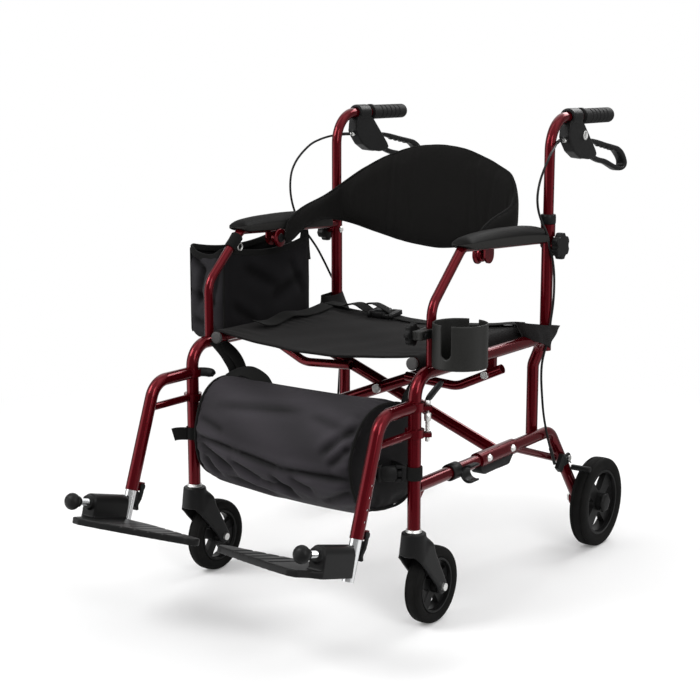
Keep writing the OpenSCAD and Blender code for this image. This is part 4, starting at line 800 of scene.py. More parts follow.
# half a section, mirrored and scaled row by row: its width by a round nose and tail,
# its height between the flat underside and the arched top
def armPad(sign, side):
    s = padSet
    t = 0.5 - 0.5 * np.cos(np.pi * np.linspace(0, 1, s["rows"]))  # rows lie closer together at both ends
    d = t * s["length"]
    bow = lambda share: np.sqrt(1 - (1 - share) ** 2)
    nose, tail = np.clip(d / s["nose"], 0, 1), np.clip((s["length"] - d) / s["tail"], 0, 1)
    wide = s["width"] / 2 * np.maximum((1 - (1 - nose) ** 2.6) ** 0.45, 0.03) * np.maximum(bow(tail), 0.03)
    top = smoothed(np.interp(t, *np.array(s["top"]).T), 4, "edge")
    drop = (0.45 + 0.55 * bow(np.clip(d / s["noseRise"], 0, 1))) * (0.5 + 0.5 * bow(tail))
    top = s["low"] + (top - s["low"]) * drop
    low = s["low"] + s["noseCut"] * (1 - np.clip(d / s["cutRun"], 0, 1)) ** 1.5  # the nose is cut back below
    half = np.array(s["section"])
    u, v = np.concatenate([half, half[-2:0:-1] * (-1, 1)]).T
    mid = low + (top - low) * s["edge"]
    z = mid[:, None] + v[None] * np.where(v[None] > 0, (top - mid)[:, None], (mid - low)[:, None])
    along = (s["start"] + d)[:, None]
    a = math.radians(s["fall"])
    grid = np.stack([sign * s["x"] + u[None] * wide[:, None], s["y"] + along * math.cos(a) + z * math.sin(a),
                     s["z"] - along * math.sin(a) + z * math.cos(a)], -1)
    pad = addPiece("armPad" + side.capitalize(), [skin(grid, loopV=True, caps=True)], "pad_foam", side + "_frame")
    shadePoints(pad, np.broadcast_to((v > -0.95) & (v < 0.02), z.shape).ravel() * 0.9)  # painted light: the upright sides are painted paler
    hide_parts(side + "_armrest_pad")


for sign, side in bothSides:
    armPad(sign, side)
print("pads done")


# side bag: an open pouch that hangs outside the right arm, with soft walls and a bound mouth

pouchSet = {"x": (-0.388, -0.288), "y": (-0.129, 0.181), "z": (0.486, 0.682), "corner": 0.020, "wall": 0.0024,
            "around": 160, "levels": 34, "shortDip": 0.017, "outerDip": 0.012, "innerDip": 0.016, "cornerRise": 0.006,
            "shortBulge": 0.007, "longBulge": 0.004, "footIn": 0.012, "mouthIn": 0.006,
            "folds": [(355, 668, 400, 630, 7, -7), (395, 640, 385, 560, 7, -6.5), (440, 660, 420, 560, 7, -6.5),
                      (360, 590, 430, 560, 8, -5.5), (365, 530, 435, 505, 8, -5.5), (-60, 640, 60, 585, 12, -3),
                      (30, 560, 140, 600, 12, -3.2), (-100, 560, -20, 515, 10, -2.8),
                      (100, 640, 150, 560, 10, -2.6)]}


def pouchLoop():  # a rounded rectangle with even steps: points and outward directions
    s = pouchSet
    corner = s["corner"]
    cx, cy = sum(s["x"]) / 2, sum(s["y"]) / 2
    hx, hy = (s["x"][1] - s["x"][0]) / 2 - corner, (s["y"][1] - s["y"][0]) / 2 - corner
    dense = []
    for k, (ex, ey) in enumerate(((1, 1), (-1, 1), (-1, -1), (1, -1))):
        a = np.radians(np.linspace(90 * k, 90 * k + 90, 24))
        dense.append(np.stack([cx + ex * hx + corner * np.cos(a), cy + ey * hy + corner * np.sin(a)], 1))
    p = evenSteps(np.concatenate(dense + [dense[0][:1]]), s["around"], False)
    along = unit(np.roll(p, -1, 0) - np.roll(p, 1, 0))
    return p, np.stack([along[:, 1], -along[:, 0]], 1)


# the rounded rectangle raised level by level, bulging by a sine of the height and creased,
# then over the lip and down again inside
def sideBag():
    s = pouchSet
    p, out = pouchLoop()
    low, high = s["z"]
    cx, cy = sum(s["x"]) / 2, sum(s["y"]) / 2
    flatX = np.clip(1 - ((p[:, 0] - cx) / 0.05) ** 2, 0, 1)  # 1 in the middle of the short walls
    flatY = np.clip(1 - ((p[:, 1] - cy) / 0.155) ** 2, 0, 1)  # 1 in the middle of the long walls
    short, long = np.abs(out[:, 1]) > 0.7, np.abs(out[:, 0]) > 0.7
    inner, outward = out[:, 0] > 0.7, out[:, 0] < -0.7
    h = np.linspace(0, 1, s["levels"])
    rim = high - s["shortDip"] * flatX ** 0.7 - flatY * (s["outerDip"] * outward + s["innerDip"] * inner)
    rim = rim + s["cornerRise"] * (1 - flatX) * (1 - flatY)
    z = low + (rim - low)[None] * h[:, None]
    foot = s["footIn"] * (1 - np.clip(h / 0.10, 0, 1)) ** 2
    full = s["shortBulge"] * flatX * short + s["longBulge"] * flatY * long
    bulge = np.sin(np.pi * h)[:, None] * full - foot[:, None]
    bulge = bulge - (h ** 3)[:, None] * s["mouthIn"] * flatX * short  # the mouth falls in a little at the short ends
    bulge = np.where(inner[None], np.minimum(bulge, 0.001), bulge)
    across = np.where(long, p[:, 1], p[:, 0] + 0.738)  # short walls lie beside the long ones on the folds' plan
    place = np.stack([np.broadcast_to(across, z.shape), z], -1).reshape(-1, 2)
    crease = folds(place, s["folds"]).reshape(z.shape)
    move = bulge + crease * np.clip(h * 5, 0, 1)[:, None]
    wall = lambda grow: np.concatenate([p[None] + out[None] * (move + grow)[..., None], z[..., None]], -1)
    outer, inside = wall(0), wall(-s["wall"])
    inside[..., 2] = np.maximum(inside[..., 2], low + s["wall"] * 1.5)
    lip = 0.5 * (outer[-1] + inside[-1]) + (0, 0, 0.0008)
    centre = np.array([cx, cy, 0])
    below = [centre + (outer[0] - centre) * (k, k, 1) for k in (0.05, 0.6, 0.93, 0.985)]
    floor = [centre + (inside[0] - centre) * (k, k, 1) for k in (0.985, 0.6, 0.05)]
    grid = np.concatenate([np.stack(below), outer, lip[None], inside[::-1], np.stack(floor)])
    bag = addPiece("sideBag", [skin(grid, loopV=True, caps=True)], bagCanvas, "right_frame")
    shade = np.zeros(grid.shape[:2])
    shade[4:4 + s["levels"]] = 0.2 + 0.42 * np.clip(-out[:, 1], 0, 1) ** 2 + crease / 0.012  # painted light: the front wall is painted paler than the others, and the crease valleys get painted shade
    shadePoints(bag, shade.ravel())
    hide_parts("side_bag")
    seams = [sweepLoop(lip - (0, 0, 0.004), tape(0.014, s["wall"] * 2.4)[:, ::-1], upAxis)]
    for k in np.nonzero(np.abs(np.abs(out[:, 0]) - 0.7) < 0.06)[0][[0, 2, -3, -1]]:  # upright seams at the corners
        seams.append(sweep(outer[2:, k] + np.append(out[k] * 0.0008, 0), ring(0.0022, 8), (1, 0.3, 0)))
    addPiece("sideBagBinding", seams, "belt_web", "right_frame")
    print("side bag done")


sideBag()


# lap belt: two lengths of webbing on the seat's rear, a side-release buckle, and a loose curled tail;
# rows are x, y and height above the seat cloth, then the way up and the share of the width

beltSet = {"width": 0.038, "thick": 0.0022, "buckle": (-0.088, 0.188, 0.5165), "buckleSize": (0.046, 0.066, 0.014),
           "lines": [([(-62, 188, 5), (-40, 188, 3), (0, 187, 1), (60, 190, 1), (120, 188, 2), (180, 190, 2),
                       (222, 194, 3), (250, 196, 4)], (0, 0, 1), 1),
                     ([(-118, 188, 6), (-136, 188, 10), (-158, 190, 17), (-178, 192, 15), (-198, 194, 6),
                       (-222, 196, 3), (-250, 196, 4)], (0, 0, 1), 1),
                     ([(-60, 189, 9), (-92, 190, 20), (-120, 192, 26), (-132, 193, 22)], (0, 0.1, 1), 0.92),
                     ([(-232, 166, 4), (-226, 140, 3), (-219, 96, 2), (-216, 50, 3), (-219, 8, 7), (-214, -34, 3),
                       (-205, -72, 2), (-200, -104, 6), (-196, -128, 12)], (0.25, 0, 1), 0.8)]}


def seatTop(x):  # height of the seat cloth's upper side
    s = seatSet
    return s["tubeZ"] + s["tubeR"] + s["thick"] - (s["sag"] + 0.0016) * slackShare(x)


# flat webbing carried along smooth lines that lie on the seat's own parabola
def lapBelt():
    s = beltSet
    lengths = []
    for rows, up, share in s["lines"]:
        p = mm(*rows)
        p[:, 2] += seatTop(p[:, 0]) + s["thick"]
        lengths.append(sweep(roundLine(p, 70), tape(s["width"] * share, s["thick"], 0.1), up))
    belt = addPiece("lapBelt", lengths, "belt_web", None)
    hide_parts("seat_belt")
    along, out = np.array([1.0, 0, 0]), unit(np.array([0, -0.16, 1]))
    buckle = sideRelease("lapBeltBuckle", np.array(s["buckle"]), along, out, *s["buckleSize"], None)
    blendSeat(belt)
    blendSeat(buckle)
    print("belt done")


lapBelt()


# cloth boots that the seat sends round the foot of each rear post: lower and upper edge in side view, front and back

bootSet = {"across": {"left": (0.2752, 0.0180), "right": (0.273, 0.0158)}, "wall": 0.0022, "levels": 24,
           "left": (((174, 505), (262, 474)), ((128, 546), (316, 512))),
           "right": (((188, 498), (322, 480)), ((207, 541), (276, 547)))}


# an oval tube between two edges that are straight in side view; the inner wall is the same, narrower
def postBoot(sign, side):
    s = bootSet
    v = np.linspace(0, 1, s["levels"])[:, None]
    a = circle(64)
    low, high = mm(*s[side][0]), mm(*s[side][1])
    front, back = (low[k] + (high[k] - low[k]) * v for k in (0, 1))
    mid, reach = (front + back) / 2, (back - front) / 2
    centre, half = s["across"][side]
    shells = []
    for grow in (0, -s["wall"]):
        yz = mid[:, None] + reach[:, None] * soft(np.cos(a), 0.7)[None, :, None] * (1 + grow / 0.08)
        wide = np.sin(a)[None] * (half + grow) * (1 + 0.05 * np.sin(v * 9 + a[None] * 2))
        wide = wide + 0.0008 * np.sin(yz[..., 0] * 130 + v * 4)
        yz[..., 1] += 0.004 * np.cos(a)[None] ** 2 * (v - 0.5)
        shells.append(np.concatenate([sign * (centre + wide)[..., None], yz], -1))
    grid = np.concatenate([shells[0], shells[1][::-1]])
    boot = addPiece("postBoot" + side.capitalize(), [skin(grid, loopU=True, loopV=True)], "cloth", side + "_frame")


for sign, side in bothSides:
    postBoot(sign, side)


# brake cables: smooth jackets from the lever housing down to the brake arm; rows are mm out from the frame, y and z

cableSet = {"radius": 0.0025, "ferrule": 1.45, "left": [
    (0, 312, 909), (5, 292, 909), (15, 262, 905), (26, 228, 896), (34, 194, 880), (38, 164, 856), (39, 145, 830),
    (39, 138, 802), (38, 146, 775), (35, 168, 750), (29, 196, 731), (21, 222, 714), (16, 240, 692), (16, 254, 666),
    (18, 259, 635), (18, 261, 600), (17, 260, 568), (15.7, 255, 538), (15.6, 248, 510), (15, 241, 487), (10, 238, 465),
    (6, 237, 440), (5, 238, 410), (6, 241, 375), (10, 242, 335), (16, 244, 300), (19, 255, 265), (20, 270, 236),
    (20, 281, 216)], "right": [
    (0, 312, 909), (5, 292, 909), (15, 262, 906), (25, 232, 899), (33, 203, 887), (38, 167, 861), (39, 145, 835),
    (39, 137, 808), (39, 138, 780), (39, 147, 751), (39, 164, 722), (39, 188, 696), (36, 211, 671), (33, 232, 646),
    (28, 254, 611), (23, 275, 575), (20, 297, 548), (19, 312, 522), (19, 316, 492), (20, 312, 455), (20, 306, 410),
    (20, 300, 360), (20, 295, 310), (20, 289, 260), (20, 281, 216)]}


# a round profile along a smooth line through the rows, with a short ferrule on both ends
def brakeCable(sign, side):
    s = cableSet
    line = roundLine(mm(*[(sign * (frameX * 1000 + dx), y, z) for dx, y, z in s[side]]), 260)
    jacket = sweep(line, ring(s["radius"], 10), acrossAxis)
    ends = [sweep(tip, ring(s["radius"] * s["ferrule"], 12), acrossAxis) for tip in (line[:14], line[-14:])]
    cable = addPiece("brakeCable" + side.capitalize(), [jacket] + ends, "cable_jacket", None)
    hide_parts(side + "_brake_cable")
    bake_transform(cable)


for sign, side in bothSides:
    brakeCable(sign, side)
print("cables done")


# mouldings: CAD parts as if cast in one piece, with fine voxels and every edge smoothed round

# voxel size and passes of smoothing
mouldSet = {"fork": (0.0022, 14), "housing": (0.0018, 7), "heightKnob": (0.0014, 14), "shoe": (0.0018, 4),
            "lockLever": (0.0014, 4), "footplate": (0.0018, 3), "cup": (0.0018, 4), "clampKnob": (0.0014, 7)}
knobRim = {"z": 0.693, "grow": 1.22}
hoodSet = {"top": 0.1966, "radius": 0.0235, "flare": 0.10, "rear": 0.060}


# the node's own mesh, merged, in voxels, bent where it has to be, and smoothed
def moulded(node, name, body, kind, bend=None):
    voxel, passes = mouldSet[kind]
    piece = bpy.data.objects.new(name, frame["nodes"][node].data.copy())
    bpy.context.scene.collection.objects.link(piece)
    shape = bmesh.new()
    shape.from_mesh(piece.data)
    bmesh.ops.remove_doubles(shape, verts=shape.verts, dist=1e-6)
    shape.to_mesh(piece.data)
    shape.free()
    voxels(piece, voxel)
    if bend:
        movePoints(piece, bend(points(piece)))
    relax(piece, passes)
    freeze(piece)
    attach(piece, body)
    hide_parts(node)
    return piece


def hood(p):  # the fork's crown is drawn in to a round hood about the stem; only the arms reach further back
    s = hoodSet
    stem = np.array([math.copysign(frameX, p[0, 0]), legY])
    away = p[:, :2] - stem
    far = np.maximum(np.linalg.norm(away, axis=1), 1e-6)
    down = np.clip(s["top"] - p[:, 2], 0, 1)
    rear = np.clip(away[:, 1] / far, 0, 1) ** 2 * np.clip((down - 0.010) / 0.035, 0, 1)
    limit = s["radius"] + s["flare"] * np.minimum(down, 0.06) + s["rear"] * rear + 0.5 * np.clip(down - 0.048, 0, 1)
    return np.concatenate([stem + away * np.minimum(1, limit / far)[:, None], p[:, 2:]], 1)


def rounder(p):  # the height knob's rim is drawn a little further out
    centre = np.array([0, postY, knobRim["z"]])
    return centre + (p - centre) * (1, knobRim["grow"], knobRim["grow"])


for sign, side in bothSides:
    cap = side.capitalize()
    moulded(side + "_caster_fork", "casterFork" + cap, side + "_fork", "fork", hood)
    moulded(side + "_brake_housing", "brakeHousing" + cap, side + "_handle", "housing")
    moulded(side + "_height_knob", "heightKnob" + cap, side + "_knob", "heightKnob", rounder)
    moulded(side + "_brake_shoe", "brakeShoe" + cap, side + "_brake", "shoe")
    moulded(side + "_footrest_lever", "lockLever" + cap, side + "_foot_lock", "lockLever")
    moulded(side + "_footplate", "footplate" + cap, side + "_foot_plate", "footplate")
cup = moulded("cup_holder", "cupHolder", "left_frame", "cup")
cup.data.materials[0] = cupPlastic
clampKnob = moulded("cup_clamp_knob", "cupClampKnob", "cup_knob_body", "clampKnob")
clampKnob.data.materials[0] = clampPlastic
print("mouldings done")


# brake levers: a band bent into a loop, with finger steps inside; rows are outer and inner edge from the pivot

leverSet = {"pivot": (0.421, 0.891), "half": 0.0056, "wide": 0.0120, "rows": 240, "step": 0.0030, "pitch": 0.021,
            "steps": (0.052, 0.136),
            "pairs": [(4, 11, 24, 6), (20, 17, 29, 8), (48, 14.5, 46, 4), (72, 10.5, 72, -1), (104, 4.5, 103, -6),
                      (136, -1, 131, -11), (158, -6, 149, -17), (178, -17, 165, -26), (193, -33, 179, -37),
                      (197, -46, 182, -45), (189, -55, 178, -50), (170, -60, 166, -50.5), (150, -58, 147, -46.5),
                      (126, -51, 124, -39), (94, -42, 98, -30.5), (60, -36, 64, -25), (30, -27, 36, -17),
                      (4, -14, 25, -8)]}


# outer and inner edge are smooth closed lines; half way between them runs a band
# whose section is an oval squared off by a power
def brakeLever(sign, side):
    s = leverSet
    p = mm(*s["pairs"])
    edge = lambda q, count: loopLine(np.concatenate([np.zeros((len(q), 1)), q], 1), count)[:, 1:]
    outer, dense = edge(p[:, :2], s["rows"]), edge(p[:, 2:], s["rows"] * 4)
    inner = dense[np.argmin(np.linalg.norm(outer[:, None] - dense[None], axis=2), axis=1)]
    inner = np.stack([smoothed(column, 4, "wrap") for column in inner.T], 1)
    (first, last), y = s["steps"], inner[:, 0]
    step = np.clip(1 - np.abs(((y - first) / s["pitch"]) % 1 - 0.5) * 2.4, 0, 1)
    step = step * (y > first) * (y < last) * (inner[:, 1] > -0.012)
    inner = inner - unit(outer - inner) * (s["step"] * step)[:, None]
    middle, arm = (outer + inner) / 2, (outer - inner) / 2
    wide = s["half"] + (s["wide"] - s["half"]) * np.clip((middle[:, 0] - 0.09) / 0.08, 0, 1)
    a = circle(20)
    u, v = soft(np.cos(a), 0.55), soft(np.sin(a), 0.55)
    yz = middle[:, None] + arm[:, None] * u[None, :, None] + np.array(s["pivot"])
    grid = np.concatenate([(sign * frameX + wide[:, None] * v[None])[..., None], yz], -1)
    band = skin(grid, loopU=True, loopV=True)
    lever = addPiece("brakeLever" + side.capitalize(), [band], "black_plastic", side + "_lever")
    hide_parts(side + "_brake_lever")


for sign, side in bothSides:
    brakeLever(sign, side)


# tyres: turned profiles with a tread groove on each side

tyreSet = {"rear": [(-15.5, 73.1), (-16.8, 78), (-18.1, 82), (-18.5, 87), (-18.3, 92.5), (-17, 96.6), (-14.2, 98.9),
                    (-10, 99.7), (-9.2, 98.3), (-7.8, 98.3), (-7, 99.9), (0, 100)],
           "caster": [(-12, 54.1), (-14.2, 57), (-16.2, 60), (-17, 64.5), (-16.5, 69), (-14.6, 72.4), (-11.6, 74.6),
                      (-10.6, 73.6), (-9.4, 74.4), (-8.4, 75.5), (-7.4, 74.6), (-6.4, 75.7), (0, 76)],
           "centre": {"rear": (0.320, 0.435, 0.100), "caster": (frameX, -0.187, 0.076)}}


# half a profile, mirrored, turned about the axle
def tyre(kind, sign, side):
    half = np.array(tyreSet[kind])
    whole = np.concatenate([half, half[-2::-1] * (-1, 1)])
    rubber = turned(whole, np.array(tyreSet["centre"][kind]) * (sign, 1, 1), acrossAxis, 128, hollow=True)
    piece = addPiece(kind + "Tyre" + side.capitalize(), [rubber], "tyre_rubber", side + "_" + kind + "_wheel")
    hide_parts(side + "_" + kind + "_tyre")


for sign, side in bothSides:
    tyre("rear", sign, side)
    tyre("caster", sign, side)


# small fittings

fitSet = {"hubCap": [(338.6, 19.5), (338.6, 22), (340.2, 22.8), (343.6, 22.2), (345.2, 20), (346.2, 18),
                     (346.6, 12), (346.6, 0.5)],
          "collar": [(737.4, 11.7), (737.4, 15), (738.8, 16), (744, 16.4), (752, 16.4), (757, 15.8), (758, 14.8),
                     (758, 11.7)],
          "washer": [(196.8, 1), (196.8, 15), (197.4, 15.6), (199.6, 15.6), (200.2, 14.8), (203, 14.6),
                     (203.6, 14), (203.6, 12.8)],
          "dome": [(0, 7.8), (1, 7.8), (1.8, 6.8), (4, 6), (5.8, 4.2), (6.6, 2), (6.8, 0.3)],
          "disc": [(0, 0.5), (0, 9.8), (1.2, 10.2), (2, 9.8), (2, 7.6), (1.4, 7), (1.4, 0.4)],
          "nut": [(331, 0.4), (331, 4.6), (329, 5.2), (324.5, 5.2), (323.5, 4.6), (319.5, 4.6), (318.5, 3.8),
                  (313, 3.6), (312, 2.8)],
          "clipBand": [(-129, 13.5), (-129, 15.8), (-127.5, 16.8), (-98.5, 16.8), (-97, 15.8), (-97, 13.5)],
          "shoe": [(-22, 276), (-24, 268), (-14, 259), (-8, 257.5), (36, 257.5), (37, 260), (39, 260), (40, 257.5),
                   (86, 257.5), (92, 259), (108, 276)],
          "jaw": {"x": 0.3035, "y": -0.088, "z": 0.281, "radius": 0.0160}}


# rows turned about their own axes, a flat plate, and a clip bent along an arc
def fittings(sign, side):
    s = fitSet
    x = sign * frameX
    frameBody, handleBody, braceBody = side + "_frame", side + "_handle", "brace_a_body" if sign > 0 else "brace_b_body"
    out = lambda rows: np.array(s[rows]) * (sign, 1)  # from the frame outwards
    add = lambda name, skins, look, body: addPiece(name + side.capitalize(), skins, look, body)
    add("rearHubCap", [turned(out("hubCap"), (0, 0.435, 0.100), acrossAxis, 6)], "wheel_plastic", frameBody)
    add("postCollar", [turned(s["collar"], (x, postY, 0), upAxis, 48, hollow=True)], "black_plastic", frameBody)
    add("stemWasher", [turned(s["washer"], (x, legY, 0), upAxis, 48)], "bolt_steel", frameBody)
    domes = [turned(out("dome"), (sign * 0.2885, y, 0.289), acrossAxis, 24) for y in (0.004, 0.100)]
    add("sleeveBolts", domes, "bolt_steel", braceBody)
    add("sleeveShoe", [plate(mm(*s["shoe"]), sign * 0.260, sign * 0.287, sign * 0.002)], "black_plastic", braceBody)
    add("housingDisc", [turned(out("disc"), (sign * 0.2876, 0.393, 0.917), acrossAxis, 40)], "bolt_steel", handleBody)
    add("cableAdjuster", [turned(s["nut"], (x, 0, 0.909), alongAxis, 20)], "bolt_steel", handleBody)
    jaw, a = s["jaw"], np.radians(np.linspace(70, 290, 40))  # open clip that takes the folded brace
    r = jaw["radius"]
    grip = np.stack([sign * (jaw["x"] + r * np.cos(a)), np.full(40, jaw["y"]), jaw["z"] + r * np.sin(a)], 1)
    clip = sweep(grip, tape(0.034, 0.0042)[:, ::-1], alongAxis)
    band = turned(s["clipBand"], (x, 0, 0.285), alongAxis, 40, hollow=True)
    add("railClip", [clip, band], "black_plastic", frameBody)


# swing-away lock of each footrest: a spring pin through the rings' ears and a black release lever

pinSet = {"place": (0.2914, -0.2356), "coil": (393, 412.5, 7), "coilRadius": (3.6, 1.2),
          "ends": [(373.5, 0.4), (373.5, 3.4), (374.5, 4.2), (381.5, 4.2), (382.5, 3), (392, 3)],
          "head": [(413, 6), (416, 6), (416.5, 6.6), (427.5, 6.6), (428.5, 3), (442.5, 3), (443, 5.8), (453, 5.8),
                   (454, 0.4)],
          "left": [(291, -236, 452), (294, -233, 458), (301, -227, 470), (309, -220, 483), (312, -217, 488)],
          "right": [(-266, -243, 441), (-260, -237, 441), (-252, -229, 440), (-246, -222, 437), (-243, -219, 433)],
          "grip": {"left": (0.013, 0.009), "right": (0.018, 0.018)}}


# a turned pin whose coil is a cosine of the height, and a lever swept along a smooth line
def lockPin(sign, side):
    s = pinSet
    low, high, turns = s["coil"]
    mean, swing = s["coilRadius"]
    z = np.linspace(low, high, turns * 6)
    coil = np.stack([z, mean + swing * np.cos(np.linspace(0, 2 * np.pi * turns, len(z)))], 1)
    rows = np.concatenate([s["ends"], coil, s["head"]])
    cap, body = side.capitalize(), side + "_hanger"
    pin = turned(rows, (sign * s["place"][0], s["place"][1], 0), upAxis, 24)
    addPiece("lockPin" + cap, [pin], "bolt_steel", body)
    size = np.interp(np.linspace(0, 1, 24), [0, 0.15, 0.8, 1], [0.8, 1, 1, 0.55])
    lever = sweep(roundLine(mm(*s[side]), 24), tape(*s["grip"][side]), (0, 0.4, 1), size)
    addPiece("lockLever" + cap + "Grip", [lever], "black_plastic", body)


for sign, side in bothSides:
    fittings(sign, side)
    lockPin(sign, side)
print("fittings done")


# side bag's hangers: a wrap on the sloping arm, a ring, and a wide strap at the rear

hangSet = {"slope": (0, 0.7314, 0.6820), "end": (-0.273, -0.0960, 0.7130),
           "wrap": [(-40, 10.3), (-40, 12.4), (-38.5, 13.1), (-20, 12.6), (-6.5, 13.3), (-5, 12.4), (-5, 10.3)],
           "tab": [(-284, -112, 692), (-287, -100, 690), (-290, -86, 684), (-291, -82, 668), (-291, -82, 640)],
           "rear": [(-286, 152, 704), (-288, 156, 694), (-289.5, 158, 680), (-290.5, 158, 655), (-290.5, 158, 630)],
           "ring": (-0.2868, -0.0745, 0.6830), "ringRadius": 0.0075}


# a turned wrap, webbing along smooth lines, and a round profile carried round a circle
def bagHangers():
    s = hangSet
    wrap = turned(s["wrap"], s["end"], s["slope"], 40, hollow=True)
    tab, rear = roundLine(mm(*s["tab"]), 30), roundLine(mm(*s["rear"]), 30)
    size = np.interp(np.linspace(0, 1, 30), [0, 0.4, 1], [0.75, 1.0, 1.35])
    straps = [sweep(tab, tape(0.026, 0.0024), acrossAxis), sweep(rear, tape(0.036, 0.0024), acrossAxis, size)]
    addPiece("sideBagStraps", [wrap] + straps, "belt_web", "right_frame")
    x, y, z = s["ring"]
    a = circle(40)
    loop = np.stack([np.full(40, x), y + s["ringRadius"] * np.cos(a), z + s["ringRadius"] * np.sin(a)], 1)
    addPiece("sideBagRing", [sweepLoop(loop, ring(0.0018, 10), acrossAxis)], "bolt_steel", "right_frame")


bagHangers()


# footplate knobs: a bright rod with a collar and a flattened black ball, set out from the ball's centre

knobSet = {"pivot": (-0.4501, 0.2084), "pitch": 15.0, "ball": -157.6, "ballSize": (12.8, 16.2),
           "neck": [(10, 0.4), (10, 11.5), (16.5, 10.5), (17.2, 8.5), (17.2, 0.4)],
           "rod": [(10, 0.4), (10, 6.4), (40, 6.4), (40.5, 9), (54.5, 9), (55, 6.4), (137.6, 6.4), (166.6, 6),
                   (167.1, 0.4)]}


# turned about the plate's hinge: the ball is a sine along and a power of the cosine across
def footKnob(sign, side):
    s = knobSet
    a = math.radians(s["pitch"])
    axis = (0, math.cos(a), -math.sin(a))
    centre = (sign * frameX, *s["pivot"])
    deep, wide = s["ballSize"]
    t = np.linspace(-np.pi / 2, np.pi / 2, 22)
    ball = np.stack([deep * np.sin(t), wide * np.cos(t) ** 0.85 + 0.2], 1)
    part = lambda rows, sides: turned(np.array(rows) + (s["ball"], 0), centre, axis, sides)
    cap, body = side.capitalize(), side + "_foot_rod"
    knob = addPiece("footKnob" + cap, [part(ball, 40), part(s["neck"], 32)], "black_plastic", body)
    addPiece("footRod" + cap, [part(s["rod"], 32)], "footrest_steel", body)
    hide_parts(side + "_footrest_pivot")


for sign, side in bothSides:
    footKnob(sign, side)


# floor, light and camera; a bank is a compass direction, where it starts and is full, and its power

stageSet = {"floor": 9.0, "shade": (0.86, 0.86, 0.86), "lift": 0.12, "near": 0.9, "far": 2.0, "sky": 0.62,
            "banks": [((-0.72, -0.69), 0.86, 0.97, 1.75), ((0.97, 0.24), 0.84, 0.98, 0.85),
                      ((-0.60, 0.80), 0.80, 0.97, 0.60)],
            "dim": 0.32, "roof": 0.85}


def studioBanks(net, place):  # brightness by compass direction, and a bright roof: what mirror rays see
    level = net.vector("NORMALIZE", net.vector("MULTIPLY", place, (1, 1, 0)))
    total = stageSet["dim"]
    for (x, y), low, high, power in stageSet["banks"]:
        total = net.ramp(net.vector("DOT_PRODUCT", level, (x, y, 0), "Value"), low, high) * power + total
    up = net.add("ShaderNodeSeparateXYZ", {}, {0: net.vector("NORMALIZE", place)}, 2)
    return net.ramp(up, 0.45, 0.8) * stageSet["roof"] + total


def studioFloor():  # one flat sheet of four corners; it keeps the shadow near the object and turns white further off
    s = stageSet
    half, lift = s["floor"], s["lift"]
    mesh = bpy.data.meshes.new("studioFloor")
    mesh.from_pydata([(-half, -half, 0), (half, -half, 0), (half, half, 0), (-half, half, 0)], [], [(0, 1, 2, 3)])
    floor = bpy.data.objects.new("studioFloor", mesh)
    bpy.context.scene.collection.objects.link(floor)
    net = newLook("paleFloor")
    ray = net.add("ShaderNodeLightPath", {}, {}, "Is Camera Ray")
    mirror = ray.other("Is Glossy Ray")
    net.put(Base_Color=s["shade"], Roughness=0.9, Specular_IOR_Level=0.1, Emission_Strength=1.0)
    net.put(Emission_Color=net.mix(ray, (0, 0, 0), (lift, lift, lift)))
    place = net.coords("Object")
    away = net.vector("LENGTH", place, None, "Value")
    white = net.add("ShaderNodeEmission", {}, {"Color": (1, 1, 1), "Strength": 1.0})
    banks = net.add("ShaderNodeEmission", {}, {"Color": (1, 1, 1), "Strength": studioBanks(net, place)})
    plain = Sock(net, net.shader.outputs[0])
    seen = net.add("ShaderNodeMixShader", {}, {0: ray * net.ramp(away, s["near"], s["far"]), 1: plain, 2: white})
    both = net.add("ShaderNodeMixShader", {}, {0: mirror * net.ramp(away, 0.5, 1.2), 1: seen, 2: banks})
    net.feed(net.tree.nodes["Material Output"].inputs["Surface"], both)
    mesh.materials.append(net.owner)


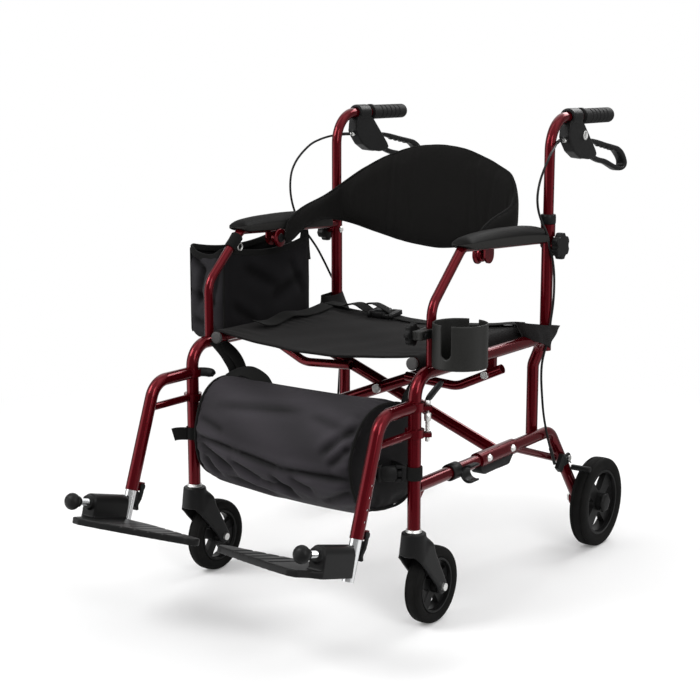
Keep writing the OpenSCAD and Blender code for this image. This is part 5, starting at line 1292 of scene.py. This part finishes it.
def whiteWorld():  # white to the camera, banks of light to mirror rays, a soft grey as light
    world = bpy.data.worlds.new("studioWorld")
    bpy.context.scene.world = world
    net = Net(world)
    ray = net.add("ShaderNodeLightPath", {}, {}, "Is Camera Ray")
    mirror, glass = ray.other("Is Glossy Ray"), ray.other("Is Transmission Ray")
    sky = stageSet["sky"]
    plain = ray.maths("MAXIMUM", ray, glass) * (1 - sky) + sky
    power = mirror * (studioBanks(net, net.coords("Generated")) - plain) + plain
    background = net.tree.nodes["Background"]
    net.feed(background.inputs["Color"], (1, 1, 1))
    net.feed(background.inputs["Strength"], power)


lightSet = {"keyLight": ((-1.6, -2.4, 2.8), (0, 0, 0.5), (1.6, 1.6), 70),
            "fillLight": ((2.6, -1.4, 1.9), (0, 0, 0.5), (1.2, 1.8), 36),
            "rimLight": ((0.4, 2.6, 2.6), (0, 0, 0.6), (2.0, 1.0), 50)}  # place, aim, size, power


def areaLight(name, place, aim, size, power):  # tilted and turned from its place towards its aim
    data = bpy.data.lights.new(name, "AREA")
    data.shape = "RECTANGLE"
    data.size, data.size_y = size
    data.energy = power
    lamp = bpy.data.objects.new(name, data)
    lamp.location = place
    x, y, z = np.array(aim) - np.array(place)
    lamp.rotation_euler = (math.atan2(math.hypot(x, y), -z), 0, math.atan2(-x, y))
    bpy.context.scene.collection.objects.link(lamp)


cameraSet = {"place": (1.7337, -2.5311, 1.0615), "down": 10.758, "round": 35.196, "lens": 76.69, "sensor": 36.0}


def photoCamera():  # where the photograph was taken from, level and tilted down
    s = cameraSet
    data = bpy.data.cameras.new("photoCamera")
    data.sensor_fit = "HORIZONTAL"
    data.sensor_width = s["sensor"]
    data.lens = s["lens"]
    camera = bpy.data.objects.new("photoCamera", data)
    camera.location = s["place"]
    camera.rotation_euler = (math.radians(90 - s["down"]), 0, math.radians(s["round"]))
    bpy.context.scene.collection.objects.link(camera)
    bpy.context.scene.camera = camera


studioFloor()
whiteWorld()
for name, values in lightSet.items():
    areaLight(name, *values)
photoCamera()
bpy.context.scene.view_settings.view_transform = "Standard"
print("stage set")
